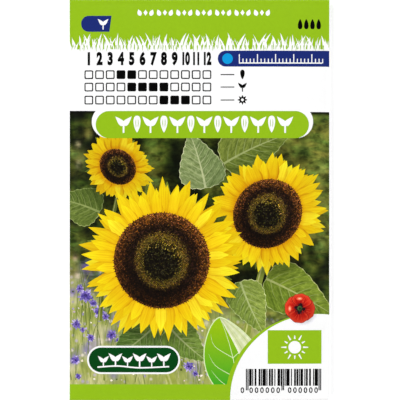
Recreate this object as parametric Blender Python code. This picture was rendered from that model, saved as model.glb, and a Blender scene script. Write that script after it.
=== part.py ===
"""Sunflower seed packet: a folded and glued paper envelope that lies on its back, with its seeds inside.

The packet is one paper blank in five panels. The front panel curls over on all four sides: on the left
into the back panel, on the right into a seam flap glued inside the back panel, and at the top and the
bottom into flaps glued outside it. The seeds lie loose in one layer on the back panel.

Metres, +X to the packet's right, +Y to its top and +Z out of its printed front. The origin is under the
packet's middle, on the surface that it lies on.
"""

import math
import random

import bmesh
import bpy
from mathutils import Matrix, Vector

MM = 0.001

# The packet as it lies, measured over its folds.
PACKET_WIDTH = 86.0 * MM
PACKET_HEIGHT = 132.8 * MM

# The paper, and the clearance that stands for the glue or air between two layers of it.
PAPER = 0.12 * MM
LAYER_GAP = 0.3 * MM
LAYER_PITCH = PAPER + LAYER_GAP

# Heights of the middle of each sheet where the packet's rim is thinnest, from the table up.
RIM_LIFT = 1.4 * MM
BACK_RIM = RIM_LIFT + PAPER / 2
FLAP_RIM = BACK_RIM - LAYER_PITCH
SEAM_RIM = BACK_RIM + LAYER_PITCH
FRONT_RIM = SEAM_RIM + LAYER_PITCH

# Each curl is a half turn from the front sheet down to the sheet that it runs into.
LEFT_CURL = (FRONT_RIM - BACK_RIM) / 2
RIGHT_CURL = (FRONT_RIM - SEAM_RIM) / 2
END_CURL = (FRONT_RIM - FLAP_RIM) / 2
CURL_STEPS = 5

# The lines along which the front sheet starts to curl.
LEFT_LINE = -PACKET_WIDTH / 2 + LEFT_CURL + PAPER / 2
RIGHT_LINE = PACKET_WIDTH / 2 - RIGHT_CURL - PAPER / 2
END_LINE = PACKET_HEIGHT / 2 - END_CURL - PAPER / 2

# How the filled packet swells: the front to a low pillow, the back flat where it lies on the table.
FRONT_SWELL = 2.6 * MM
SWELL_POWER_ACROSS = 4
SWELL_POWER_ALONG = 5
BELLY_ACROSS = 0.60
BELLY_ALONG = 0.55
BELLY_POWER_ACROSS = 2.0
BELLY_POWER_ALONG = 1.5

# The flaps: how far they reach in from the fold, and how much narrower they get.
TOP_FLAP_REACH = 15.5 * MM
BOTTOM_FLAP_REACH = 13.0 * MM
END_FLAP_INSET = 2.0 * MM
END_FLAP_TAPER = 3.0 * MM
SEAM_FLAP_REACH = 12.0 * MM
SEAM_FLAP_INSET = 1.2 * MM
SEAM_FLAP_TAPER = 4.0 * MM
BACK_EDGE_INSET = 0.12 * MM

# How finely the sheets are divided.
FRONT_COLUMNS, FRONT_ROWS = 20, 30
BACK_COLUMNS, BACK_ROWS = 14, 20
FLAP_ROWS = 4
SEAM_COLUMNS, SEAM_ROWS = 3, 20
SIDE_CURL_INSET = 0.8 * MM

# The seeds: sunflower achenes, wide near the blunt end and pointed at the other.
SEED_COUNT = 16
SEED_LENGTHS = (13.0 * MM, 12.4 * MM, 11.8 * MM)
SEED_WIDTH_SHARE = 0.52
SEED_THICKNESSES = (3.6 * MM, 3.4 * MM, 3.3 * MM)
SEED_STATIONS = (0.04, 0.14, 0.3, 0.5, 0.7, 0.86, 0.96)
SEED_SIDES = 10
SEED_POINT_POWER = 0.8
SEED_BLUNT_POWER = 0.4
SEED_CLEARANCE = 0.8 * MM
SEED_FIELD_ACROSS = 21.0 * MM
SEED_FIELD_BOTTOM = -44.0 * MM
SEED_FIELD_TOP = 16.0 * MM
SCATTER_SEED = 11

# The soft bump that each seed raises in the front sheet.
BUMP_HEIGHT = 0.3 * MM
BUMP_LENGTH = 7.5 * MM
BUMP_WIDTH = 4.5 * MM


def clear_scene():
    for old in list(bpy.data.objects):
        bpy.data.objects.remove(old)


def principled(name, colour, roughness, metallic=0.0):
    material = bpy.data.materials.new(name)
    material.use_nodes = True
    shader = material.node_tree.nodes["Principled BSDF"]
    shader.inputs["Base Color"].default_value = (*colour, 1.0)
    shader.inputs["Roughness"].default_value = roughness
    shader.inputs["Metallic"].default_value = metallic
    material.diffuse_color = (*colour, 1.0)
    return material


def across(x):
    """Where x lies between the packet's side folds: 0 half way, 1 at either fold."""
    middle = (LEFT_LINE + RIGHT_LINE) / 2
    half = (RIGHT_LINE - LEFT_LINE) / 2
    return min(1.0, abs(x - middle) / half)


def along(y):
    """Where y lies between the end folds: 0 half way, 1 at either fold."""
    return min(1.0, abs(y) / END_LINE)


def rise(share, flat, power):
    """0 up to the share that is flat, then up to 1."""
    return max(0.0, (share - flat) / (1 - flat)) ** power


def back_height(x, y):
    """The middle of the back sheet: flat on the table, and lifted towards the rim."""
    held_across = 1 - rise(across(x), BELLY_ACROSS, BELLY_POWER_ACROSS)
    held_along = 1 - rise(along(y), BELLY_ALONG, BELLY_POWER_ALONG)
    return PAPER / 2 + RIM_LIFT * (1 - held_across * held_along)


def pillow(x, y):
    """How far the front has swelled: 0 at the rim, 1 in the middle."""
    return (1 - across(x) ** SWELL_POWER_ACROSS) * (1 - along(y) ** SWELL_POWER_ALONG)


def bump(x, y, seed):
    """The share of a seed's bump at this place."""
    seed_x, seed_y, turn = seed
    east, north = x - seed_x, y - seed_y
    lengthwise = (east * math.cos(turn) + north * math.sin(turn)) / BUMP_LENGTH
    sideways = (north * math.cos(turn) - east * math.sin(turn)) / BUMP_WIDTH
    return math.exp(-(lengthwise**2) - sideways**2)


def front_height(x, y, seeds):
    """The middle of the front sheet: a pillow with a soft bump over each seed."""
    bumps = BUMP_HEIGHT * min(1.0, sum(bump(x, y, seed) for seed in seeds))
    return FRONT_RIM + (FRONT_SWELL + bumps) * pillow(x, y)


def seed_spine(seed):
    """Points along a seed's middle, for keeping seeds apart."""
    x, y, turn = seed
    reach = max(SEED_LENGTHS) / 2 * (1 - SEED_WIDTH_SHARE)
    direction = Vector((math.cos(turn), math.sin(turn)))
    return [Vector((x, y)) + direction * reach * share for share in (-1, -0.5, 0, 0.5, 1)]


def scatter_seeds():
    """(x, y, turn) of each seed, none touching another."""
    draw = random.Random(SCATTER_SEED)
    apart = max(SEED_LENGTHS) * SEED_WIDTH_SHARE + SEED_CLEARANCE
    seeds = []
    while len(seeds) < SEED_COUNT:
        x = draw.uniform(-SEED_FIELD_ACROSS, SEED_FIELD_ACROSS)
        y = draw.uniform(SEED_FIELD_BOTTOM, SEED_FIELD_TOP)
        tried = (x, y, draw.uniform(0, 2 * math.pi))
        spine = seed_spine(tried)
        others = [point for seed in seeds for point in seed_spine(seed)]
        if all((a - b).length > apart for a in spine for b in others):
            seeds.append(tried)
    return seeds


def lines(low, high, count, inset=0.0):
    """Even divisions from low to high. With an inset, the first and last are that narrow."""
    inner_low, inner_high = low + inset, high - inset
    inner = [inner_low + (inner_high - inner_low) * i / count for i in range(count + 1)]
    return [low, *inner, high] if inset else inner


def join_rows(mesh, rows):
    """Quads between rows of vertices, each row as long as the one before."""
    for first, second in zip(rows, rows[1:]):
        for i in range(len(first) - 1):
            mesh.faces.new((first[i], first[i + 1], second[i + 1], second[i]))


def curl(mesh, edge, outward, radius):
    """A half turn of the sheet from this edge, outwards and down."""
    rows = [edge]
    for step in range(1, CURL_STEPS + 1):
        angle = math.pi * step / CURL_STEPS
        shift = Vector(outward) * radius * math.sin(angle)
        shift.z -= radius * (1 - math.cos(angle))
        rows.append([mesh.verts.new(vertex.co + shift) for vertex in edge])
    join_rows(mesh, rows)


def paper_object(name, mesh, material):
    """An object from a sheet's middle surface, thickened both ways to the paper."""
    bmesh.ops.recalc_face_normals(mesh, faces=mesh.faces)
    data = bpy.data.meshes.new(name)
    mesh.to_mesh(data)
    mesh.free()
    data.materials.append(material)
    data.shade_smooth()
    made = bpy.data.objects.new(name, data)
    bpy.context.collection.objects.link(made)
    thicken = made.modifiers.new("paper", "SOLIDIFY")
    thicken.thickness = PAPER
    thicken.offset = 0.0
    thicken.use_even_offset = True
    return made


def front_panel(seeds, material):
    """The front sheet, with a curl on each of its four sides."""
    mesh = bmesh.new()
    columns = lines(LEFT_LINE, RIGHT_LINE, FRONT_COLUMNS, END_FLAP_INSET)
    rows = lines(-END_LINE, END_LINE, FRONT_ROWS, SIDE_CURL_INSET)
    grid = [[mesh.verts.new((x, y, front_height(x, y, seeds))) for x in columns] for y in rows]
    join_rows(mesh, grid)
    left_edge = [row[0] for row in grid[1:-1]]
    right_edge = [row[-1] for row in grid[1:-1]]
    curl(mesh, left_edge, (-1, 0, 0), LEFT_CURL)
    curl(mesh, right_edge, (1, 0, 0), RIGHT_CURL)
    curl(mesh, grid[0][1:-1], (0, -1, 0), END_CURL)
    curl(mesh, grid[-1][1:-1], (0, 1, 0), END_CURL)
    return paper_object("front_panel", mesh, material)


def back_panel(material):
    """The back sheet, from the left curl to a cut edge at the right."""
    mesh = bmesh.new()
    columns = lines(LEFT_LINE + LAYER_GAP, RIGHT_LINE - BACK_EDGE_INSET, BACK_COLUMNS)
    rows = lines(-END_LINE + BACK_EDGE_INSET, END_LINE - BACK_EDGE_INSET, BACK_ROWS)
    join_rows(mesh, [[mesh.verts.new((x, y, back_height(x, y))) for x in columns] for y in rows])
    return paper_object("back_panel", mesh, material)


def seam_flap(material):
    """The strip that runs in from the right curl, inside the back panel."""
    mesh = bmesh.new()
    columns = []
    for i in range(SEAM_COLUMNS + 1):
        share = i / SEAM_COLUMNS
        x = RIGHT_LINE - LAYER_GAP - (SEAM_FLAP_REACH - LAYER_GAP) * share
        end = END_LINE - SEAM_FLAP_INSET - SEAM_FLAP_TAPER * share
        places = [(x, y, back_height(x, y) + LAYER_PITCH) for y in lines(-end, end, SEAM_ROWS)]
        columns.append([mesh.verts.new(place) for place in places])
    join_rows(mesh, columns)
    return paper_object("side_seam_flap", mesh, material)


def end_flap(name, side, reach, material):
    """A flap that runs in from an end fold, outside the back panel. side is 1 at the top, -1 below."""
    mesh = bmesh.new()
    rows = []
    for i in range(FLAP_ROWS + 1):
        share = i / FLAP_ROWS
        y = side * (END_LINE - LAYER_GAP - (reach - LAYER_GAP) * share)
        taper = END_FLAP_INSET + END_FLAP_TAPER * share
        columns = lines(LEFT_LINE + taper, RIGHT_LINE - taper, BACK_COLUMNS)
        places = [(x, y, back_height(x, y) - LAYER_PITCH) for x in columns]
        rows.append([mesh.verts.new(place) for place in places])
    join_rows(mesh, rows)
    return paper_object(name, mesh, material)


def seed_outline(share):
    """A seed's half width at this share of its length, as a share of its widest."""
    def shape(s):
        return s**SEED_POINT_POWER * (1 - s) ** SEED_BLUNT_POWER
    widest = SEED_POINT_POWER / (SEED_POINT_POWER + SEED_BLUNT_POWER)
    return shape(share) / shape(widest)


def seed_mesh(name, length, thickness, material):
    """A seed that lies along X, with its lowest point at the origin's height."""
    mesh = bmesh.new()
    rings = []
    for station in SEED_STATIONS:
        width = length * SEED_WIDTH_SHARE * seed_outline(station)
        depth = thickness * seed_outline(station)
        squash = Matrix.Diagonal((1, width / 2, depth / 2, 1))
        place = Matrix.Translation((length * (station - 0.5), 0, thickness / 2))
        turn = Matrix.Rotation(math.pi / 2, 4, "Y")
        made = bmesh.ops.create_circle(
            mesh, segments=SEED_SIDES, radius=1.0, matrix=place @ squash @ turn
        )
        rings.append(made["verts"])
    for first, second in zip(rings, rings[1:]):
        for i in range(SEED_SIDES):
            j = (i + 1) % SEED_SIDES
            mesh.faces.new((first[i], first[j], second[j], second[i]))
    for ring, end in ((rings[0], -0.5), (rings[-1], 0.5)):
        tip = mesh.verts.new((length * end, 0, thickness / 2))
        for i in range(SEED_SIDES):
            mesh.faces.new((ring[i], ring[(i + 1) % SEED_SIDES], tip))
    bmesh.ops.recalc_face_normals(mesh, faces=mesh.faces)
    data = bpy.data.meshes.new(name)
    mesh.to_mesh(data)
    mesh.free()
    data.materials.append(material)
    data.shade_smooth()
    return data


def place_seeds(seeds, material):
    """One object a seed, sharing a mesh with those of its size."""
    sizes = list(zip(SEED_LENGTHS, SEED_THICKNESSES))
    meshes = [seed_mesh(f"seed_{i}", *size, material) for i, size in enumerate(sizes)]
    for i, (x, y, turn) in enumerate(seeds):
        made = bpy.data.objects.new(f"seed_{i + 1:02d}", meshes[i % len(meshes)])
        made.location = (x, y, PAPER + LAYER_GAP)
        made.rotation_euler = (0, 0, turn)
        bpy.context.collection.objects.link(made)


def main():
    clear_scene()
    coated_paper = principled("coated paper", (0.80, 0.82, 0.72), 0.45)
    printed_paper = principled("printed paper", (0.31, 0.52, 0.04), 0.40)
    seed_husk = principled("seed husk", (0.09, 0.08, 0.07), 0.6)
    seeds = scatter_seeds()
    front_panel(seeds, printed_paper)
    back_panel(coated_paper)
    seam_flap(coated_paper)
    end_flap("top_flap", 1, TOP_FLAP_REACH, printed_paper)
    end_flap("bottom_flap", -1, BOTTOM_FLAP_REACH, printed_paper)
    place_seeds(seeds, seed_husk)


main()
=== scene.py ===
"""Looks of a sunflower seed packet: a folded paper blank, its printed front and back, and the seeds in it.

Sizes are millimetres until a mesh is made. The print is drawn flat, on the blank before it is folded:
s runs to the packet's right and t to its top, both from the middle of the front. Shapes are laid down in
painting order, cut into one flat mosaic, and each piece of the mosaic is then folded with the paper.
"""

import logging
import math
import random
from dataclasses import dataclass, field
from enum import Enum
from typing import Callable, Iterable, Sequence

import bpy
import numpy as np
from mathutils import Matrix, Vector
from mathutils.geometry import delaunay_2d_cdt


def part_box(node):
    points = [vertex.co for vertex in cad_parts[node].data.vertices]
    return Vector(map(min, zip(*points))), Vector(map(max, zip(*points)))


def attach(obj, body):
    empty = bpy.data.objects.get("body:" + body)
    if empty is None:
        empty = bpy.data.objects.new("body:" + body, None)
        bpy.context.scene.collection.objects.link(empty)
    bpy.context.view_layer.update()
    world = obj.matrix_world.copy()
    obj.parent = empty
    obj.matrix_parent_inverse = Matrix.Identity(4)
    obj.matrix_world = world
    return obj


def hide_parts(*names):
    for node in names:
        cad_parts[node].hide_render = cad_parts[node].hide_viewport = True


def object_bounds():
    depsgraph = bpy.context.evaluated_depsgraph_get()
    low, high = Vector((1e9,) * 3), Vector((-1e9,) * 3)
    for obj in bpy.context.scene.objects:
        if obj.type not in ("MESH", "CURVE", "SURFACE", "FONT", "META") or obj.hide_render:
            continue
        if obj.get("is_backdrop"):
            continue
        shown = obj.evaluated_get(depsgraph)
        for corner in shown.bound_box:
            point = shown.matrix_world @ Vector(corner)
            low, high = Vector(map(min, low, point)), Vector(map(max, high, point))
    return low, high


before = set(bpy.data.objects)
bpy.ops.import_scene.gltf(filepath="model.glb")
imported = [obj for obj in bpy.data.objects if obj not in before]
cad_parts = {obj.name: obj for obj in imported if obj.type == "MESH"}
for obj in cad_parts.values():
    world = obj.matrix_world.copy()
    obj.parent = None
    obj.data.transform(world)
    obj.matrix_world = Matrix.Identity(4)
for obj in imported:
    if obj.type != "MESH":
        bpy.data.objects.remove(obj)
CAD_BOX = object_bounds()

MM = 0.001
GOLDEN_ANGLE = math.pi * (3 - math.sqrt(5))
INK_LIFT = 0.02

Colour = tuple[float, float, float]
Point = tuple[float, float]
Box = tuple[float, float, float, float]
Array = np.ndarray
Profile = Callable[[Array], Array]
Node = bpy.types.Node
Source = bpy.types.NodeSocket | Node

log = logging.getLogger("seed_packet")


# ---------------------------------------------------------------- colours, nodes and meshes


def linear(code: str) -> Colour:
    """Turns an sRGB hex colour to linear red, green and blue."""
    shares = [int(code[i : i + 2], 16) / 255 for i in (1, 3, 5)]
    return tuple(c / 12.92 if c <= 0.04045 else ((c + 0.055) / 1.055) ** 2.4 for c in shares)


def rgba(code: str) -> tuple[float, ...]:
    """The linear colour of a hex code with full opacity, as a colour socket takes it."""
    return (*linear(code), 1.0)


def per_metre(size: float) -> float:
    """The scale of a texture whose pattern repeats after this many millimetres."""
    return 1 / (size * MM)


class Graph:
    """The nodes of a material or a world."""

    def __init__(self, owner: bpy.types.Material | bpy.types.World) -> None:
        """Takes up the owner's own nodes."""
        owner.use_nodes = True
        self.owner, self.tree = owner, owner.node_tree

    def feed(self, node: str | Node, inputs: dict) -> None:
        """Sets or links a node's inputs.

        Args:
            node: The node or its name.
            inputs: Socket name or number to a value, or to the socket or node that it is linked from. A node
                stands for the first of its outputs in use.
        """
        sockets = (self.tree.nodes[node] if isinstance(node, str) else node).inputs
        for name, value in inputs.items():
            if isinstance(value, Node):
                value = next(socket for socket in value.outputs if socket.enabled)
            if isinstance(value, bpy.types.NodeSocket):
                self.tree.links.new(value, sockets[name])
            else:
                sockets[name].default_value = value

    def add(self, kind: str, inputs: dict | None = None, **settings: object) -> Node:
        """Adds a shader node.

        Args:
            kind: The node's Blender type, without its leading "ShaderNode".
            inputs: What its inputs are set to or linked from, as in feed.
            settings: The node's own properties.

        Returns:
            The new node.
        """
        node = self.tree.nodes.new(f"ShaderNode{kind}")
        for name, value in settings.items():
            setattr(node, name, value)
        self.feed(node, inputs or {})
        return node


def mesh_object(name: str, points: Array, faces: Array, material: bpy.types.Material) -> bpy.types.Object:
    """Makes an object from arrays.

    Args:
        name: The object's name.
        points: Places in millimetres, one row each.
        faces: Vertex numbers, one row a face.
        material: What the object wears.

    Returns:
        The object, linked to the scene.
    """
    mesh = bpy.data.meshes.new(name)
    mesh.from_pydata((points * MM).tolist(), [], faces.tolist())
    mesh.materials.append(material)
    mesh.shade_smooth()
    made = bpy.data.objects.new(name, mesh)
    bpy.context.scene.collection.objects.link(made)
    return made


def smoothstep(value: Array, low: float, high: float) -> Array:
    """Rises smoothly from 0 at low to 1 at high."""
    share = np.clip((value - low) / (high - low), 0, 1)
    return share * share * (3 - 2 * share)


# ---------------------------------------------------------------- the folded form


@dataclass
class PacketForm:
    """The shape of the folded paper: where each place of the flat blank lies in the packet.

    The outside width and height come from the front panel's solid. The paper, its layers and the swell
    repeat the sizes that the solids are built from. Lines are flat places on the blank: fold lines, grid
    lines and edges.
    """

    paper: float = 0.12
    layer_gap: float = 0.3
    glued_gap: float = 0.05
    glue_from: float = 6.0
    rim_lift: float = 1.4
    swell: float = 2.6
    swell_power_across: float = 4
    swell_power_along: float = 5
    belly_across: float = 0.60
    belly_along: float = 0.55
    belly_power_across: float = 2
    belly_power_along: float = 1.5
    pressed_rim: float = 1.2
    bump_height: float = 0.3
    bump_length: float = 7.5
    bump_width: float = 4.5
    back_width: float = 85.0
    seam_reach: float = 12.0
    top_reach: float = 15.5
    bottom_reach: float = 13.0
    ear_lines: int = 4
    mitre_lift: float = 0.05
    mitre_reach: float = 0.12
    flap_taper: float = 4.4
    seam_taper: float = 4.0
    back_margin: float = 0.2
    bleed_turn: float = 0.6
    crease_height: float = 0.10
    side_crease_reach: float = 7.0
    side_crease_gap: float = 9.3
    end_crease_reach: float = 9.0
    end_crease_gap: float = 11.7
    slack: float = 0.35
    grid_step: float = 0.8
    panel_step: float = 1.2
    rim_steps: tuple[float, ...] = (0, 0.15, 0.35, 0.65, 1.0, 1.4, 1.8, 2.3, 2.9, 3.5, 4.2)
    curl_steps: int = 9
    seeds: list[tuple[float, float, float]] = field(default_factory=list)

    def __post_init__(self) -> None:
        """Works out the fold lines and heights, and reads where the seeds lie."""
        low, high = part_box("front_panel")
        self.width = (high.x - low.x) / MM
        self.height = (high.y - low.y) / MM
        pitch = self.paper + self.layer_gap
        self.pitch = pitch
        self.back_rim = self.rim_lift + self.paper / 2
        self.front_rim = self.back_rim + 2 * pitch
        self.left_curl, self.right_curl, self.end_curl = pitch, pitch / 2, 1.5 * pitch
        self.left = -self.width / 2 + self.left_curl + self.paper / 2
        self.right = self.width / 2 - self.right_curl - self.paper / 2
        self.end = self.height / 2 - self.end_curl - self.paper / 2
        self.flap_foot = self.end + math.pi * self.end_curl
        self.ear_left = self.curl_lines(self.left, self.left_curl, -1)[self.ear_lines - 1]
        self.ear_right = self.curl_lines(self.right, self.right_curl, 1)[self.ear_lines - 1]
        self.left_bleed = self.left - math.pi * self.left_curl * self.bleed_turn
        self.right_bleed = self.right + math.pi * self.right_curl * self.bleed_turn
        for name in sorted(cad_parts):
            if name.startswith("seed_"):
                self.seeds.append(self.seed_place(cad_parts[name]))

    @staticmethod
    def seed_place(node: bpy.types.Object) -> tuple[float, float, float]:
        """Finds where a seed lies.

        Args:
            node: The seed's solid.

        Returns:
            Its middle in x and y, and the direction of its long axis in radians.
        """
        flat = np.array([(v.co.x, v.co.y) for v in node.data.vertices]) / MM
        middle = (flat.max(0) + flat.min(0)) / 2
        spread = np.cov((flat - flat.mean(0)).T)
        turn = 0.5 * math.atan2(2 * spread[0, 1], spread[0, 0] - spread[1, 1])
        return float(middle[0]), float(middle[1]), turn

    def across(self, x: Array) -> Array:
        """Share of the way from the middle to a side fold."""
        middle, half = (self.left + self.right) / 2, (self.right - self.left) / 2
        return np.minimum(1, np.abs(x - middle) / half)

    def along(self, y: Array) -> Array:
        """Share of the way from the middle to an end fold."""
        return np.minimum(1, np.abs(y) / self.end)

    def from_folds(self, x: Array, y: Array) -> tuple[Array, Array]:
        """How far each place is from the nearest side fold and the nearest end fold."""
        return (1 - self.across(x)) * self.width / 2, (1 - self.along(y)) * self.height / 2

    def back_height(self, x: Array, y: Array) -> Array:
        """Finds the height of the back sheet's middle: flat on the table, lifted to the rim.

        Args:
            x, y: Places on the packet.

        Returns:
            The heights.
        """
        past_across = np.maximum(0, (self.across(x) - self.belly_across) / (1 - self.belly_across))
        past_along = np.maximum(0, (self.along(y) - self.belly_along) / (1 - self.belly_along))
        held = (1 - past_across**self.belly_power_across) * (1 - past_along**self.belly_power_along)
        return self.paper / 2 + self.rim_lift * (1 - held)

    def creases(self, x: Array, y: Array) -> Array:
        """Finds the soft creases that run in from the folds, and the slack between them.

        The bare lengths in it only keep the creases from repeating evenly.

        Args:
            x, y: Places on the packet.

        Returns:
            How far the paper stands out.
        """
        from_side, from_end = self.from_folds(x, y)
        side_turns = y / self.side_crease_gap + 0.35 * np.sin(y / 7.1) + x / 61
        end_turns = x / self.end_crease_gap + 0.4 * np.sin(x / 8.3 + y / 23)
        sides = np.exp(-from_side / self.side_crease_reach) * np.sin(2 * math.pi * side_turns)
        ends = np.exp(-from_end / self.end_crease_reach) * np.sin(2 * math.pi * end_turns)
        waves = np.sin(x / 8.7 + 1.3 * np.sin(y / 13.1)) * np.sin(y / 10.9 + 0.8 * np.sin(x / 9.7))
        return self.crease_height * (sides + ends + self.slack * waves)

    def front_height(self, x: Array, y: Array) -> Array:
        """Finds the height of the front sheet's middle: a pillow with a bump over each seed.

        Args:
            x, y: Places on the packet.

        Returns:
            The heights.
        """
        side_free, end_free = (
            1 - np.exp(-((away / self.pressed_rim) ** 2)) for away in self.from_folds(x, y)
        )
        fall_across = self.across(x) ** self.swell_power_across
        fall_along = self.along(y) ** self.swell_power_along
        pillow = (1 - fall_across) * (1 - fall_along)
        bumps = np.zeros_like(x)
        for seed_x, seed_y, turn in self.seeds:
            east, north = x - seed_x, y - seed_y
            lengthwise = (east * math.cos(turn) + north * math.sin(turn)) / self.bump_length
            sideways = (north * math.cos(turn) - east * math.sin(turn)) / self.bump_width
            bumps += np.exp(-(lengthwise**2) - sideways**2)
        raised = self.swell + self.bump_height * np.minimum(1, bumps)
        return self.front_rim + (raised * pillow + self.creases(x, y)) * (side_free * end_free)

    @staticmethod
    def turn_over(past: Array, curl: float) -> tuple[Array, Array, Array]:
        """Follows the paper past a fold line.

        Args:
            past: How far the flat place lies past the line.
            curl: The fold's radius.

        Returns:
            How far out it then lies, how far down, and how far it has come back in under the front.
        """
        angle = np.clip(past / curl, 0, math.pi)
        back_in = np.maximum(0, past - math.pi * curl)
        return curl * np.sin(angle) - back_in, curl * (1 - np.cos(angle)), back_in

    def sheet(self, s: Array, t: Array) -> Array:
        """Folds flat places of the blank.

        Args:
            s, t: Places on the blank.

        Returns:
            The places of the paper's middle in the folded packet, one row each.
        """
        x, y = np.clip(s, self.left, self.right), np.clip(t, -self.end, self.end)
        z = self.front_height(x, y)
        for side, line, curl, lift in (
            (-1, self.left, self.left_curl, 0.0), (1, self.right, self.right_curl, self.pitch),
        ):
            past = side * (s - line)
            out, down, back_in = self.turn_over(past, curl)
            x = np.where(past > 0, line + side * out, x)
            z = np.where(past > 0, self.front_rim - down, z)
            z = np.where((past > 0) & (back_in > 0), self.back_height(x, y) + lift, z)
        past = np.abs(t) - self.end
        out, down, back_in = self.turn_over(past, self.end_curl)
        y = np.where(past > 0, np.sign(t) * (self.end + out), y)
        z = np.where(past > 0, np.minimum(z, self.front_rim - down), z)
        glued = (self.glued_gap - self.layer_gap) * smoothstep(back_in, 0, self.glue_from)
        z = np.where((past > 0) & (back_in > 0), self.back_height(x, y) - (self.pitch + glued), z)
        return np.stack([x, y, z], 1)

    def outside(self, s: Array, t: Array, lift: float) -> tuple[Array, Array]:
        """Finds the paper's printed side.

        Args:
            s, t: Places on the blank.
            lift: How far off the paper's middle, on its printed side. It is more by `mitre_lift` at the
                corners' mitres, where the paper's facets stand out of its smooth surface.

        Returns:
            The places and the directions that they face, one row each.
        """
        reach = 0.02
        past = np.minimum(np.maximum(self.left - s, s - self.right), np.abs(t) - self.end)
        lift = lift + self.mitre_lift * smoothstep(past, 0.0, self.mitre_reach)[:, None]
        over_s = self.sheet(s + reach, t) - self.sheet(s - reach, t)
        over_t = self.sheet(s, t + reach) - self.sheet(s, t - reach)
        facing = np.cross(over_s, over_t)
        facing /= np.maximum(np.linalg.norm(facing, axis=1, keepdims=True), 1e-9)
        return self.sheet(s, t) + facing * lift, facing

    def flap_edges(self, t: Array) -> tuple[Array, Array]:
        """Finds an end flap's left and right edges: its ears close the packet's corners, then it tapers in.

        Args:
            t: Places along the blank, past an end fold's line.

        Returns:
            The edges' places across the blank.
        """
        reach = np.where(t > 0, self.top_reach, self.bottom_reach)
        inset = self.flap_taper * np.clip((np.abs(t) - self.flap_foot) / reach, 0, 1)
        return self.ear_left + inset, self.ear_right - inset

    def curl_lines(self, line: float, curl: float, side: int) -> list[float]:
        """Grid lines round a fold, going out from its line."""
        return [line + side * math.pi * curl * i / self.curl_steps for i in range(1, self.curl_steps + 1)]

    def graded_lines(self, low: float, high: float) -> list[float]:
        """Lays grid lines between two folds: close together by the folds, where the sheet bends most.

        Args:
            low: One fold line.
            high: The other.

        Returns:
            The lines, the fold lines among them.
        """
        inner_low, inner_high = low + self.rim_steps[-1], high - self.rim_steps[-1]
        count = round((inner_high - inner_low) / self.grid_step)
        inner = np.linspace(inner_low, inner_high, count + 1)[1:-1].tolist()
        first, last = [low + step for step in self.rim_steps], [high - step for step in self.rim_steps[::-1]]
        return [*first, *inner, *last]

    def folded_lines(self, line: float, curl: float, side: int, reach: float) -> list[float]:
        """Lays grid lines round a fold and over the panel or flap past it.

        Args:
            line: The fold line.
            curl: The fold's radius.
            side: 1 where the panel is past the right or top fold, -1 past the left or bottom one.
            reach: How far the panel goes.

        Returns:
            The lines, going out from the fold.
        """
        round_fold = self.curl_lines(line, curl, side)
        steps = round(reach / self.panel_step)
        return round_fold + [round_fold[-1] + side * reach * i / steps for i in range(1, steps + 1)]

    def end_lines(self, side: int) -> list[float]:
        """Grid lines over an end fold and its flap: side is 1 at the top and -1 at the bottom."""
        reach = self.top_reach if side > 0 else self.bottom_reach
        return self.folded_lines(side * self.end, self.end_curl, side, reach)

    def rows(self) -> list[float]:
        """Grid lines along the whole blank, from its bottom flap's edge to its top flap's."""
        return [*self.end_lines(-1)[::-1], *self.graded_lines(-self.end, self.end), *self.end_lines(1)]

    def columns(self) -> list[float]:
        """Lays the grid lines across the whole blank.

        Returns:
            The lines, from the back panel's edge to the seam flap's.
        """
        back = self.folded_lines(self.left, self.left_curl, -1, self.back_width)
        seam = self.folded_lines(self.right, self.right_curl, 1, self.seam_reach)
        return [*back[::-1], *self.graded_lines(self.left, self.right), *seam]


# ---------------------------------------------------------------- finishes


class Ease(Enum):
    """How a share rises between its two ends."""

    EVEN = "LINEAR"
    SOFT = "SMOOTHSTEP"


@dataclass(frozen=True)
class Shade:
    """Factors on a colour that follow a pattern: `dark` where it is low and `light` where it is high."""

    dark: Colour
    light: Colour
    low: float = 0.0
    high: float = 1.0
    ease: Ease = Ease.EVEN

    def lay(self, graph: Graph, colour: Source, pattern: Source) -> Node:
        """Lays the factors over a colour.

        Args:
            graph: The material's nodes.
            colour: The colour.
            pattern: What the factors follow.

        Returns:
            The node that gives the shaded colour.
        """
        share = graph.add("MapRange", {"Value": pattern, "From Min": self.low, "From Max": self.high},
                          interpolation_type=self.ease.value)
        factors = graph.add("Mix", {"Factor": share, "A": (*self.dark, 1), "B": (*self.light, 1)},
                            data_type="RGBA")
        return graph.add("Mix", {"Factor": 1.0, "A": colour, "B": factors}, data_type="RGBA",
                         blend_type="MULTIPLY")


@dataclass(kw_only=True)
class Finish(Graph):
    """A material and how its surface was made. `gloss` is the shader's specular level."""

    name: str
    roughness: float
    gloss: float = 0.5
    relief: float = 0.0
    relief_mm: float = 0.02

    def __post_init__(self) -> None:
        """Starts the material. Its patterns follow the place on the object."""
        super().__init__(bpy.data.materials.new(self.name))
        self.place = self.add("TexCoord").outputs["Object"]

    def surface(self) -> tuple[Source, Source | None]:
        """Adds the surface's nodes. Gives its colour, and the height of its relief if it has one."""
        raise NotImplementedError

    def build(self) -> bpy.types.Material:
        """Dresses the material.

        Returns:
            The material.
        """
        colour, height = self.surface()
        looks = {"Base Color": colour, "Roughness": self.roughness, "Specular IOR Level": self.gloss}
        if height is not None:
            bump = {"Height": height, "Strength": self.relief, "Distance": self.relief_mm * MM}
            looks["Normal"] = self.add("Bump", bump)
        self.feed("Principled BSDF", looks)
        return self.owner


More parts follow.
